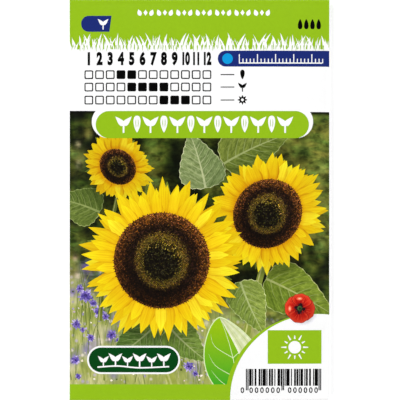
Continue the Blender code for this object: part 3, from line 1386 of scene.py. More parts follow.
@dataclass
class Stem(PrintElement):
    """A stem under a head, through three places, with a lit streak along its left side."""

    places: tuple[Point, Point, Point]
    width: float
    tint: str
    streak: str = "#C9CC86"

    def paint(self) -> None:
        """Paints the stem."""
        route = curve(self.places, 12)
        widths = np.linspace(self.width, self.width * 1.15, 12)
        self.art.paint(ribbon(route, widths.tolist()), Ink.LEAVES, self.tint)
        lit = [(x - self.width * 0.2, y) for x, y in route]
        self.art.paint(ribbon(lit, (widths * 0.22).tolist()), Ink.LEAVES, self.streak)


@dataclass
class Cornflower(PrintElement):
    """A small blue-violet flower: wide outer florets round darker inner ones."""

    x: float
    y: float
    radius: float
    rings: tuple[tuple[int, float, tuple[str, ...]], ...] = (
        (13, 1.0, ("#7166B6", "#877BC4", "#A194D0", "#6257AC", "#B5AADB")),
        (9, 0.62, ("#50429A", "#6453AA", "#7A69B8")),
    )
    heart: str = "#3A2F6E"

    def paint(self) -> None:
        """Paints the flower."""
        draw = self.art.chance
        for count, reach, tints in self.rings:
            for i in range(count):
                angle = 2 * math.pi * (i + draw.uniform(-0.35, 0.35)) / count
                length = self.radius * reach * draw.uniform(0.72, 1.12)
                foot = polar(self.x, self.y, angle, 0.12 * self.radius)
                outline = spindle(*foot, angle, length, self.radius * 0.21, petal_profile, count=4)
                self.art.paint(outline, Ink.DISCS, draw.choice(tints))
        self.art.paint(circle(self.x, self.y, self.radius * 0.22, count=8), Ink.DISCS, self.heart)


def patches(x: Array, y: Array, size: float, seed: int) -> Array:
    """Makes smooth random patches.

    Args:
        x, y: Places.
        size: The patches' spacing.
        seed: Which patches.

    Returns:
        A share from 0 to 1 at each place.
    """
    cells, offset = 64, 31.4
    grid = np.random.default_rng(seed).random((cells, cells))
    gx, gy = x / size + offset, y / size + offset
    ix, iy = np.floor(gx).astype(int), np.floor(gy).astype(int)
    fx, fy = smoothstep(gx - ix, 0, 1), smoothstep(gy - iy, 0, 1)
    sides = []
    for j in (0, 1):
        west, east = (grid[(ix + i) % cells, (iy + j) % cells] for i in (0, 1))
        sides.append(west * (1 - fx) + east * fx)
    return sides[0] * (1 - fy) + sides[1] * fy


def three_tones(share: Array, codes: Sequence[str]) -> Array:
    """Blends three colours.

    Args:
        share: How far along the blend each place is, from 0 to 1.
        codes: The colours at 0, at a half and at 1.

    Returns:
        The linear colours, one row each.
    """
    low, middle, high = (np.array(linear(code)) for code in codes)
    first, second = low + (middle - low) * share * 2, middle + (high - middle) * (share * 2 - 1)
    return np.where(share < 0.5, first, second)


@dataclass
class Garden(PrintElement):
    """The picture: sunflowers and cornflowers before soft foliage, from a window's top to its bottom.

    Each row of `spots` is a colour, how many blurred spots it has, where they lie, and their size.
    """

    bleed: Bleed
    top: float = 29.28
    top_slope: float = -0.0048
    bottom: float = -61.0
    fade_drops: tuple[float, ...] = (0.0, 0.3, 0.6, 0.9, 1.2, 1.5, 1.8)
    seed: int = 20
    blades: int = 190
    specks: int = 110
    foliage_tones: tuple[str, str, str] = ("#161D09", "#424F19", "#69772F")
    meadow_tones: tuple[str, str, str] = ("#7E8C3C", "#A9AF62", "#CFC9A0")
    blade_tints: tuple[str, ...] = ("#A0A957", "#B4B872", "#7C8D44", "#CBC99A", "#8E9C48", "#68773A")
    speck_tints: tuple[str, ...] = (
        "#D9CFC0", "#C9B3C0", "#EFE8DA", "#8B7DB6", "#4F5A2C", "#A79AC6", "#E4D9C4",
    )
    spots: tuple[tuple[str, int, Point, Point, float], ...] = (
        ("#6F60A6", 17, (-42, -14), (-50, -20), 1.5), ("#9387BC", 16, (-42, 6), (-60, -22), 1.3),
        ("#C3B6C6", 12, (-42, 4), (-58, -20), 0.9), ("#E2DCC6", 12, (-42, 4), (-58, -20), 0.8),
        ("#8E9C4A", 16, (-42, 42), (-20, 28), 2.0), ("#B9B88A", 8, (-42, 42), (-24, 26), 0.8),
        ("#0F140A", 18, (-42, 42), (-24, 29), 2.2),
    )
    heads: tuple[tuple[float, ...], ...] = (
        (-27.0, 11.0, 12.5, 6.4, 22, 700, 0.86, 2.4, 0.16),
        (22.5, -4.5, 20.5, 11.8, 29, 2100, 0.93, 0.8, 0.05),
        (-12.5, -20.0, 26.8, 15.8, 36, 3700),
    )
    leaves: tuple[tuple[float | str, ...], ...] = (
        (2.0, 4.0, 1.75, 19.0, 8.0, 2.0, "#7F9060", "#C3CBA4"),
        (8.0, 12.0, 0.55, 24.0, 8.5, -3.0, "#6C7B35", "#A9B47C"),
        (-33.0, -4.0, 2.7, 16.0, 7.0, 2.5, "#5F7232", "#9AA869"),
        (22.0, -26.0, -0.42, 26.0, 9.0, -2.0, "#72872F", "#B4BE7C"),
        (13.5, -27.0, -1.25, 19.0, 6.8, 2.0, "#829646", "#BECB90"),
        (-13.0, -40.0, -2.35, 21.0, 8.0, -2.5, "#5E7A3A", "#A6B680"),
        (-10.0, -42.0, -0.85, 17.0, 6.5, 2.0, "#6F8A3E", "#B2BF88"),
    )
    stems: tuple[tuple[tuple[Point, Point, Point], float, str], ...] = (
        (((-12.5, -40), (-11.5, -52), (-8.5, -62)), 2.6, "#A9B259"),
        (((22, -18), (16.5, -40), (12.5, -62)), 2.1, "#93A148"),
        (((-27, 2), (-31, -18), (-33, -40)), 1.3, "#7E8B3C"),
    )
    cornflowers: tuple[tuple[float, float, float], ...] = (
        (-39.6, -29.4, 1.5), (-37.6, -31.6, 2.5), (-35.2, -34.0, 1.4), (-33.2, -36.8, 2.1),
        (-31.0, -38.6, 1.3), (-40.8, -41.2, 1.7), (-38.6, -43.0, 1.0), (-36, -45.5, 1.4),
        (-29.0, -44.6, 1.7), (-26.8, -46.4, 1.1), (-41, -53, 1.7), (-24, -43.2, 1.2), (-3.5, -55, 1.8),
        (-1.0, -48.8, 1.3), (3.5, -57.5, 1.3), (-1.4, -57.4, 1.0), (5.6, -53.6, 1.0), (-40.2, -58.4, 1.1),
    )

    def __post_init__(self) -> None:
        """Sets out the plants, from the hindmost to the foremost. Each row holds a plant's own fields."""
        self.blooms = [Bloom(self.art, *row) for row in self.heads]
        kinds = ((Cornflower, self.cornflowers), (Stem, self.stems), (Leaf, self.leaves))
        self.plants = [*(kind(self.art, *row) for kind, rows in kinds for row in rows), *self.blooms]

    def window(self, foot: float, drop: float = 0.0) -> Array:
        """Outlines the picture or its lower part. The top is cut a little aslant.

        Args:
            foot: Where the outline starts.
            drop: How far below the picture's top it ends.

        Returns:
            The corners.
        """
        left, right, top = self.bleed.left, self.bleed.right, self.top - drop
        aslant = [(x, top + self.top_slope * x) for x in (right, left)]
        return np.array([(left, foot), (right, foot), *aslant])

    def shadow(self, places: Array, depth: float, fade: float) -> Array:
        """Finds the shade of the flower heads on what is behind them.

        Args:
            places: Flat places, one row each.
            depth: How dark it is under a head, from 0 to 1.
            fade: How far out it reaches, in millimetres.

        Returns:
            What is left of the light at each place.
        """
        left = np.ones(len(places))
        for bloom in self.blooms:
            away = np.hypot(places[:, 0] - bloom.x, places[:, 1] - bloom.y + 2.0) - bloom.radius
            left *= 1 - depth * np.exp(-np.maximum(0, away + 3) / fade)
        return left

    def soft_look(self, places: Array) -> tuple[Array, Array]:
        """Works out the soft background.

        Args:
            places: Flat places, one row each.

        Returns:
            Linear colours, one row each, and how much of each place is meadow, from 0 to 1.
        """
        x, y = places[:, 0], places[:, 1]
        clumps = 0.5 * patches(x, y, 11, 3) + 0.3 * patches(x, y, 5, 4) + 0.2 * patches(x, y, 2.4, 5)
        foliage = three_tones(smoothstep(clumps + 0.07 * x / 43, 0.30, 0.70)[:, None], self.foliage_tones)
        tufts = 0.6 * patches(x, y, 4.5, 6) + 0.4 * patches(x, y / 2, 1.6, 7)
        grass = three_tones(tufts[:, None], self.meadow_tones)
        edge = y + 24 + 0.3 * (x + 43) + 9 * (patches(x, y, 8, 8) - 0.5)
        meadow = 1 - smoothstep(edge, -7, 7)
        tint = foliage * (1 - meadow[:, None]) + grass * meadow[:, None]
        draw = random.Random(self.seed)
        for code, count, span_x, span_y, size in self.spots:
            for _ in range(count):
                spot_x, spot_y = draw.uniform(*span_x), draw.uniform(*span_y)
                spread = size * draw.uniform(0.6, 1.4)
                far = ((x - spot_x) ** 2 + ((y - spot_y) * draw.uniform(0.6, 1.1)) ** 2) / spread**2
                near = (np.exp(-far) * draw.uniform(0.5, 0.95))[:, None]
                tint = tint * (1 - near) + np.array(linear(code)) * near
        tint = tint * (1 - (1 - self.shadow(places, 0.5, 5.0)) * (1 - 0.7 * meadow))[:, None]
        below_top = self.top + self.top_slope * x - y
        fade = 0.02 + 0.78 * smoothstep(below_top, 0.2, 1.7) + 0.2 * smoothstep(below_top, 1.2, 4.5)
        return tint * fade[:, None], meadow

    def paint_meadow(self) -> None:
        """Paints the grasses and specks in the lower left of the picture."""
        draw = self.art.chance
        for _ in range(self.blades):
            x = draw.uniform(-42.5, 12)
            y = draw.uniform(self.bottom, -34 - 0.3 * (x + 42))
            top = draw.uniform(3, 12) if draw.random() < 0.8 else draw.uniform(12, 24)
            lean = draw.gauss(0, 0.22) * top
            route = curve([(x, y), (x + lean * 0.3, y + top * 0.5), (x + lean, y + top)], 5)
            blade = ribbon(route, [0.26, 0.25, 0.22, 0.16, 0.0])
            self.art.paint(blade, Ink.LEAVES, draw.choice(self.blade_tints))
        for _ in range(self.specks):
            x = draw.uniform(-42, 10)
            y = draw.uniform(-60, -27 - 0.3 * (x + 42))
            tint = draw.choice(self.speck_tints)
            size = draw.uniform(0.22, 0.5)
            self.art.paint(circle(x, y, size, size * draw.uniform(0.7, 1.1), 6), Ink.DISCS, tint)

    def paint(self) -> None:
        """Paints the whole picture. Its nested windows give the mosaic edges where its top fades to dark."""
        self.art.chance.seed(self.seed)
        for drop in self.fade_drops:
            self.art.paint(self.window(self.bottom, drop), Ink.GARDEN)
        self.paint_meadow()
        for plant in self.plants:
            plant.paint()


@dataclass
class PrintedSide:
    """One side of the packet's print: its shapes, where they may lie, and how they are folded."""

    name: str
    artwork: Artwork
    mosaic: Mosaic
    allowed: Callable[[Array, Array], Array]
    fold: Callable[[Array, Array], tuple[Array, Array]]
    garden: Garden | None = None

    @staticmethod
    def lay_flat_map(made: bpy.types.Object, corners: Array) -> None:
        """Gives a piece a map of the flat print, with the same scale both ways.

        Args:
            made: The piece.
            corners: The flat place of each face's corners.
        """
        margin = 0.01
        low = corners.min(0)
        span = float((corners.max(0) - low).max())
        layer = made.data.uv_layers.new(name="OFBake")
        spread = margin + (1 - 2 * margin) * (corners - low) / span
        layer.data.foreach_set("uv", spread.ravel().astype(np.float32))

    def pieces(self, finishes: dict[Ink, bpy.types.Material]) -> Iterable[bpy.types.Object]:
        """Makes one object for each ink that shows.

        Args:
            finishes: The material of each ink.

        Returns:
            The objects, one at a time.
        """
        mosaic = self.mosaic
        middle = mosaic.points[mosaic.triangles].mean(1)
        allowed = self.allowed(middle[:, 0], middle[:, 1]) & (mosaic.owner >= 0)
        for ink in finishes:
            printed = np.array([shape.ink is ink for shape in self.artwork.shapes])
            chosen = allowed & printed[mosaic.owner]
            if not chosen.any():
                continue
            triangles = mosaic.triangles[chosen]
            used, numbers = np.unique(triangles, return_inverse=True)
            flat = mosaic.points[used]
            places, facing = self.fold(flat[:, 0], flat[:, 1])
            made = mesh_object(f"{self.name}_{ink.value}", places, numbers.reshape(-1, 3), finishes[ink])
            made.data.normals_split_custom_set_from_vertices(facing.tolist())
            self.lay_flat_map(made, flat[numbers.ravel()])
            if ink in PICTURE_INKS:
                owner = np.repeat(mosaic.owner[chosen], 3)
                self.tint_picture(made, ink, mosaic.points[triangles.ravel()], owner)
            yield made

    def tint_picture(self, made: bpy.types.Object, ink: Ink, corners: Array, owner: Array) -> None:
        """Gives each corner of a piece of the picture its tint and its place in its petal or leaf.

        Args:
            made: The piece.
            ink: What it is printed with.
            corners: The flat place of each corner.
            owner: The number of the shape that each corner belongs to.
        """
        shapes = self.artwork.shapes
        axes, tint, tone = (np.array([getattr(shape, part) for shape in shapes])[owner]
                            for part in ("axes", "tint", "tone"))
        measured = np.einsum("nij,nj->ni", axes, np.column_stack([corners, np.ones(len(corners))]))
        if ink is Ink.LEAVES and self.garden:
            tint = tint * self.garden.shadow(corners, 0.5, 2.5)[:, None]
        if ink is Ink.GARDEN and self.garden:
            tint, tone = self.garden.soft_look(corners)
        motif = np.column_stack([measured, tone]).astype(np.float32)
        colour = np.column_stack([tint, np.ones(len(tint))]).astype(np.float32)
        for name, kind, slot, values in (("motif", "FLOAT_VECTOR", "vector", motif),
                                         ("tint", "FLOAT_COLOR", "color", colour)):
            made.data.attributes.new(name, kind, "CORNER").data.foreach_set(slot, values.ravel())


# ---------------------------------------------------------------- the front's print


@dataclass
class GrassBand(PrintElement):
    """The green band at the top, with white grass that stands up into it."""

    bleed: Bleed
    foot: float = 49.95
    tip: float = 54.75
    seed: int = 7
    root: float = 0.9
    tufts: int = 66
    tuft_step: float = 1.3
    blade_taper: tuple[float, ...] = (1.0, 0.85, 0.6, 0.34, 0.0)
    blade_shares: tuple[float, ...] = (0, 0.3, 0.6, 0.82, 1)

    def paint_blade(self, x: float, y: float, height: float, lean: float, width: float,
                    ink: Ink = Ink.BARE) -> None:
        """Paints a blade of grass from its foot. It hangs where its height is less than 0."""
        route = [(x + lean * share**1.7, y + height * share) for share in self.blade_shares]
        self.art.paint(ribbon(route, [width * part for part in self.blade_taper]), ink)

    def paint(self) -> None:
        """Paints the band, tall blades with thin ones round them, and green tufts down to the foot."""
        left, right, foot = self.bleed.left, self.bleed.right, self.foot
        self.art.paint(rectangle(left, foot - 0.6, right, self.bleed.top), Ink.GREEN)
        draw = self.art.chance
        draw.seed(self.seed)
        x = left - 1.0
        while x < right + 1.0:
            tall = (self.tip - foot) * draw.uniform(0.7, 1.15)
            way = draw.choice((-1, 1))
            lean = way * draw.uniform(0.05, 0.55) * tall
            self.paint_blade(x, foot - self.root, tall + self.root, lean, draw.uniform(0.85, 1.35))
            for _ in range(3):
                height = tall * draw.uniform(0.45, 0.95)
                lean = -way * draw.uniform(-0.1, 0.6) * height
                aside, width = x + draw.uniform(-1.0, 1.0), draw.uniform(0.35, 0.7)
                self.paint_blade(aside, foot - self.root, height + self.root, lean, width)
            x += draw.uniform(1.2, 2.2)
        self.art.paint(rectangle(left, foot - 0.7, right, foot - 0.1), Ink.BARE)
        for i in range(self.tufts):
            x = left + i * self.tuft_step + draw.uniform(-0.3, 0.3)
            lean = draw.uniform(-0.5, 0.5)
            self.paint_blade(x, foot + 1.2, -draw.uniform(1.3, 2.2), lean, 0.3, Ink.GREEN)


@dataclass
class TopMarks(PrintElement):
    """The marks on the green band: a navy tab with a sprout, a row of small leaves, and four seeds."""

    tab: Box = (-39.15, 55.67, -29.4, 60.97)
    tab_corner: float = 2.5
    tab_ends: Point = (-29.1, -29.8)
    marks: int = 21
    mark_step: float = 2.14
    marks_at: Point = (-20.0, 62.0)
    seeds: int = 4
    seed_step: float = 2.05
    seeds_at: Point = (33.3, 59.9)

    def paint(self) -> None:
        """Paints the marks. The tab's right end is a little aslant, from `tab_ends` at its top and foot."""
        tab = rounded(*self.tab, self.tab_corner, right_end=False)
        tab[[0, -1], 0] = self.tab_ends
        self.art.paint(tab, Ink.NAVY)
        self.art.sprout(-31.9, 56.4, 3.9)
        for i in range(self.marks):
            x, y = self.marks_at[0] + i * self.mark_step, self.marks_at[1]
            if i % 3 == 1:
                self.art.paint(circle(x, y, 0.72, 1.0, 4), Ink.BARE)
                continue
            way = 1 if i % 3 == 2 else -1
            angle = math.pi / 2 - way * 0.35
            leaf = spindle(x - way * 0.5, y - 1.05, angle, 2.25, 0.76, petal_profile, count=8)
            self.art.paint(leaf, Ink.BARE)
        for i in range(self.seeds):
            self.art.seed(self.seeds_at[0] + i * self.seed_step, self.seeds_at[1], 3.4, 0.86, Ink.BLACK, -1)


@dataclass
class MonthBoxes(PrintElement):
    """A row of twelve boxes with round corners, white inside except for the filled months."""

    first: float
    step: float
    top: float
    filled: tuple[int, ...]
    ink: Ink
    half_width: float
    height: float
    line: float
    corners: Point

    def paint_box(self, month: int) -> None:
        """Paints a month's box.

        Args:
            month: The month, from 0.
        """
        x, line = self.first + month * self.step, self.line
        left, right, foot = x - self.half_width, x + self.half_width, self.top - self.height
        self.art.paint(rounded(left, foot, right, self.top, self.corners[0], count=3), self.ink)
        if month not in self.filled:
            inside = left + line, foot + line, right - line, self.top - line
            self.art.paint(rounded(*inside, self.corners[1], count=3), Ink.BARE)


@dataclass
class MonthChart(PrintElement):
    """The months by number, and a row of boxes each for sowing, growing and flowering."""

    first: float = -36.6
    step: float = 3.55
    rows: tuple[tuple[float, tuple[int, ...]], ...] = (
        (42.9, (3, 4)), (38.8, (4, 5, 6, 7)), (34.5, (7, 8, 9)),
    )
    rule: Point = (7.0, 11.5)
    mark_x: float = 14.2

    def paint(self) -> None:
        """Paints the figures, the boxes, and what each row is for."""
        for month in range(12):
            narrow = 0.66 if month < 9 else 0.52
            self.art.numeral(str(month + 1), self.first + month * self.step, 44.9, 3.8, narrow, 0.06)
        for (top, filled), mark in zip(self.rows, (self.paint_seed, self.paint_seedling, self.paint_flower)):
            boxes = MonthBoxes(self.art, self.first, self.step, top, filled, Ink.BLACK,
                               1.45, 2.9, 0.38, (0.45, 0.2))
            for month in range(12):
                boxes.paint_box(month)
            self.art.paint(rectangle(self.rule[0], top - 1.62, self.rule[1], top - 1.3), Ink.BLACK)
            mark(top - 3.0)

    def paint_seed(self, foot: float) -> None:
        """Paints the mark for sowing."""
        self.art.seed(self.mark_x, foot, 3.2, 0.85, Ink.BLACK)

    def paint_seedling(self, foot: float) -> None:
        """Paints the mark for growing."""
        self.art.sprout(self.mark_x, foot, 3.3, Ink.BLACK)

    def paint_flower(self, foot: float) -> None:
        """Paints the mark for flowering.

        Args:
            foot: Where it stands.
        """
        x, y = self.mark_x, foot + 1.6
        for i in range(8):
            self.art.paint(spindle(x, y, i * math.pi / 4, 1.65, 0.38, petal_profile, count=6), Ink.BLACK)
        self.art.paint(circle(x, y, 0.5, count=10), Ink.BARE)


@dataclass
class HeightPill(PrintElement):
    """The navy pill, with a dot and a height ruler."""

    bleed: Bleed
    left: float = 6.05
    foot: float = 44.1
    top: float = 49.38
    corner: float = 2.6
    dot: tuple[float, float, float] = (9.28, 46.73, 1.75)
    ruler: Point = (13.0, 40.6)
    marks: int = 24
    mark_step: float = 1.2

    def paint(self) -> None:
        """Paints the pill, its dot, and the ruler's line and marks, every fifth of them tall."""
        pill = rounded(self.left, self.foot, self.bleed.right, self.top, self.corner, right_end=False)
        self.art.paint(pill, Ink.NAVY)
        self.art.paint(circle(*self.dot), Ink.CYAN)
        self.art.paint(rectangle(self.ruler[0], 45.1, self.ruler[1], 45.5), Ink.BARE)
        for i in range(self.marks):
            x = self.ruler[0] + i * self.mark_step
            tall = 3.0 if i % 5 == 0 else 1.5
            self.art.paint(rectangle(x, 45.25, x + 0.34, 45.25 + tall), Ink.BARE)


@dataclass
class LeafLabel(PrintElement):
    """The plain leaf between the picture and the corner panel: veined, with one edge turned up."""

    foot: Point = (12.8, -65.6)
    angle: float = math.pi / 2 + 0.03
    length: float = 26.8
    half_width: float = 9.6
    bend: float = 5.2
    steps: int = 24
    veins: tuple[tuple[int, int], ...] = ((4, 6), (8, 5), (12, 5))
    vein_widths: tuple[float, ...] = (0.24, 0.23, 0.22, 0.2, 0.18, 0.15, 0.12, 0.08, 0.0)
    turned_from: int = 9
    turned_tint: str = "#E3EBC4"
    folds: tuple[tuple[float, float, str], ...] = (
        (0.04, 0.13, "#F4F8E6"), (0.24, 0.3, "#CFDCA6"), (0.42, 0.56, "#EEF4DA"),
        (0.72, 0.78, "#D2DEAC"), (0.88, 1.0, "#F8FBEF"),
    )

    def paint(self) -> None:
        """Paints the pale rim, the blade, its veins and the turned edge."""
        x, y = self.foot
        rim = spindle(x, y - 0.3, self.angle, self.length + 0.7, self.half_width + 0.32, drop_profile,
                      self.bend + 0.05, self.steps)
        blade = spindle(x, y, self.angle, self.length, self.half_width, drop_profile, self.bend, self.steps)
        self.art.paint(rim, Ink.PALE_GREEN)
        self.art.paint(blade, Ink.MID_GREEN)
        right = blade[: self.steps + 1]
        left = np.vstack([blade[self.steps :], blade[:1]])[::-1]
        rib = (right + left) / 2
        self.paint_veins(rib, (left, right))
        self.paint_turned_edge(right[self.turned_from :], rib[self.turned_from :])

    def paint_veins(self, rib: Array, edges: tuple[Array, Array]) -> None:
        """Paints the side veins and the midrib.

        Args:
            rib: Places along the midrib.
            edges: The places beside them on the leaf's two edges.
        """
        for start, reach in self.veins:
            for edge in edges:
                tip = rib[start + reach] + (edge[start + reach] - rib[start + reach]) * 0.86
                elbow = (rib[start] + tip) / 2 + 0.25 * (edge[start] - rib[start])
                route = curve([tuple(rib[start]), tuple(elbow), tuple(tip)], len(self.vein_widths))
                self.art.paint(ribbon(route, self.vein_widths), Ink.PALE_GREEN)
        middle = [tuple(place) for place in rib[::3]]
        self.art.paint(ribbon(middle, np.linspace(0.36, 0.08, len(middle)).tolist()), Ink.PALE_GREEN)

    def paint_turned_edge(self, edge: Array, rib: Array) -> None:
        """Paints the right edge as turned up over the blade, with light and dark folds along it.

        Args:
            edge: Places along the leaf's right edge.
            rib: The places beside them on the midrib.
        """
        share = np.linspace(0.66, 1.04, len(edge))[:, None]
        inward = (rib - edge) * share
        self.art.paint(np.vstack([edge, (edge + inward)[-2::-1]]), Ink.LEAVES, self.turned_tint)
        for near, far, tint in self.folds:
            outer, inner = (edge + inward * part for part in (near, far))
            self.art.paint(np.vstack([outer[:-1], inner[-2::-1]]), Ink.LEAVES, tint)


@dataclass
class FootBand(PrintElement):
    """The green band under the picture, which runs on over the bottom fold."""

    bleed: Bleed
    top: float

    def paint(self) -> None:
        """Paints the band."""
        self.art.paint(rectangle(self.bleed.left, self.bleed.foot, self.bleed.right, self.top), Ink.GREEN)


@dataclass
class LongPill(PrintElement):
    """The long green pill on its white one, with a row of white seedlings and seeds."""

    garden: Garden
    left: float = -34.3
    foot: float = 20.45
    right: float = 36.2
    top: float = 29.43
    ring_rise: float = 1.9
    signs: int = 13
    first_sign: float = 9.2
    sign_step: float = 4.45

    def paint(self) -> None:
        """Paints the picture's top once more, and then the pills and the signs."""
        middle, radius = (self.top + self.foot) / 2, (self.top - self.foot) / 2
        self.art.paint(self.garden.window(middle + 4.0), Ink.GARDEN)
        ring_top = self.top + self.ring_rise
        ring = self.left - 1.34, self.foot + 0.05, self.right + 1.4, ring_top
        self.art.paint(rounded(*ring, (ring_top - self.foot) / 2 - 0.05, count=12), Ink.BARE)
        self.art.paint(rounded(self.left, self.foot, self.right, self.top, radius, count=12), Ink.GREEN)
        for i in range(self.signs):
            x = self.left + self.first_sign + i * self.sign_step
            if i % 2 == 0:
                self.art.sprout(x, middle - 2.75, 6.0)
            else:
                self.paint_striped_seed(x, middle)

    def paint_striped_seed(self, x: float, middle: float) -> None:
        """Paints a white seed with two stripes.

        Args:
            x: Its axis.
            middle: The height of the pill's middle.
        """
        self.art.seed(x, middle - 2.65, 5.6, 1.35, Ink.BARE, count=12)
        for side in (-0.42, 0.42):
            stripe = curve([(x + side * 0.6, middle - 1.05), (x + side, middle + 0.45),
                            (x + side * 0.8, middle + 1.95)], 5)
            self.art.paint(ribbon(stripe, [0.0, 0.16, 0.2, 0.16, 0.0]), Ink.GREEN)


@dataclass
class SeedlingLabel(PrintElement):
    """The deep green label with a white rim and a row of seedlings."""

    left: float = -37.2
    foot: float = -57.6
    right: float = -6.4
    top: float = -48.2
    rim: float = 0.6
    soil: tuple[Point, ...] = ((-33.8, -55.3), (-27, -54.9), (-20, -55.5), (-10, -55.1))

    def paint(self) -> None:
        """Paints the label, a line of soil, and six seedlings."""
        radius, rim = (self.top - self.foot) / 2, self.rim
        self.art.paint(rounded(self.left, self.foot, self.right, self.top, radius, count=12), Ink.BARE)
        label = self.left + rim, self.foot + rim, self.right - rim, self.top - rim
        self.art.paint(rounded(*label, radius - rim, count=12), Ink.DEEP_GREEN)
        self.art.paint(ribbon(curve(self.soil, 14), [0.5] * 14), Ink.BARE)
        for i in range(6):
            self.art.sprout(-31.8 + i * 4.0, -55.2, 5.0 if i % 2 else 4.0)


@dataclass
class CornerPanel(PrintElement):
    """The white corner panel with its green rim, and a plain sun sign on green."""

    bleed: Bleed
    x: float = 39.3
    y: float = -65.6
    across: float = 29.15
    along: float = 27.88
    sign: Box = (22.57, -54.17, 40.36, -43.06)
    sun: tuple[float, float, float] = (31.5, -48.7, 2.1)

    def paint(self) -> None:
        """Paints the panel and the sign."""
        self.art.paint(circle(self.x - 0.75, self.y, self.across + 0.75, self.along + 0.1, 96), Ink.GREEN)
        self.art.paint(circle(self.x, self.y, self.across, self.along, 96), Ink.BARE)
        self.art.paint(rectangle(self.x, self.y - 12, self.bleed.right, self.y), Ink.BARE)
        self.art.paint(rectangle(*self.sign), Ink.GREEN)
        self.art.paint(circle(*self.sun), Ink.BARE)
        self.art.rays(*self.sun[:2], 2.75, (4.5, 3.9), (0.62, 0.3), 12, Ink.BARE)

    def below_edge(self, outline: Array) -> Array:
        """Keeps an outline off the green rim.

        Args:
            outline: An outline, of which some may lie above the panel's edge.

        Returns:
            The outline, with what was above the edge on it.
        """
        inward = np.clip((self.x - outline[:, 0]) / self.across, 0, 1)
        edge = self.y + (self.along - 0.05) * np.sqrt(1 - inward**2)
        return np.column_stack([outline[:, 0], np.minimum(outline[:, 1], edge)])


@dataclass
class BarPattern(PrintElement):
    """Upright bars in an even rhythm that holds no number, over plain noughts."""

    left: float = 15.4
    foot: float = -61.5
    top: float = -55.86
    module: float = 0.2615
    spread: float = 0.045
    modules: int = 95
    guard_drop: float = 1.5
    guard_starts: tuple[int, int] = (45, 92)
    middle_end: int = 49
    bars: tuple[int, ...] = (2, 1, 3, 1, 2, 2, 1, 4, 1, 2)
    gaps: tuple[int, ...] = (1, 2, 1, 2, 3, 1, 1)
    nought_groups: tuple[tuple[float, float, int], ...] = ((14.2, 0.0, 1), (17.1, 1.79, 6), (29.85, 1.75, 6))

    def is_guard(self, at: int) -> bool:
        """True where a long guard bar stands: at both ends and in the middle."""
        middle, last = self.guard_starts
        return at < 3 or middle <= at < self.middle_end or at >= last

    def paint(self) -> None:
        """Paints the bars and the noughts."""
        at, i = 0, 0
        while at < self.modules:
            guard = self.is_guard(at)
            bar = 1 if guard else min(self.bars[i % len(self.bars)], self.guard_starts[1] - at)
            low = self.foot - self.guard_drop if guard else self.foot
            start, end = self.left + at * self.module, self.left + (at + bar) * self.module
            self.art.paint(rectangle(start - self.spread, low, end + self.spread, self.top), Ink.BLACK)
            gap = 1 if guard else self.gaps[i % len(self.gaps)]
            nearest = min((stop for stop in self.guard_starts if stop > at), default=self.modules)
            at = min(at + bar + gap, nearest)
            i += 1
        for first, step, count in self.nought_groups:
            for i in range(count):
                self.art.numeral("0", first + i * step, -63.8, 1.78, 0.96, 0.022)


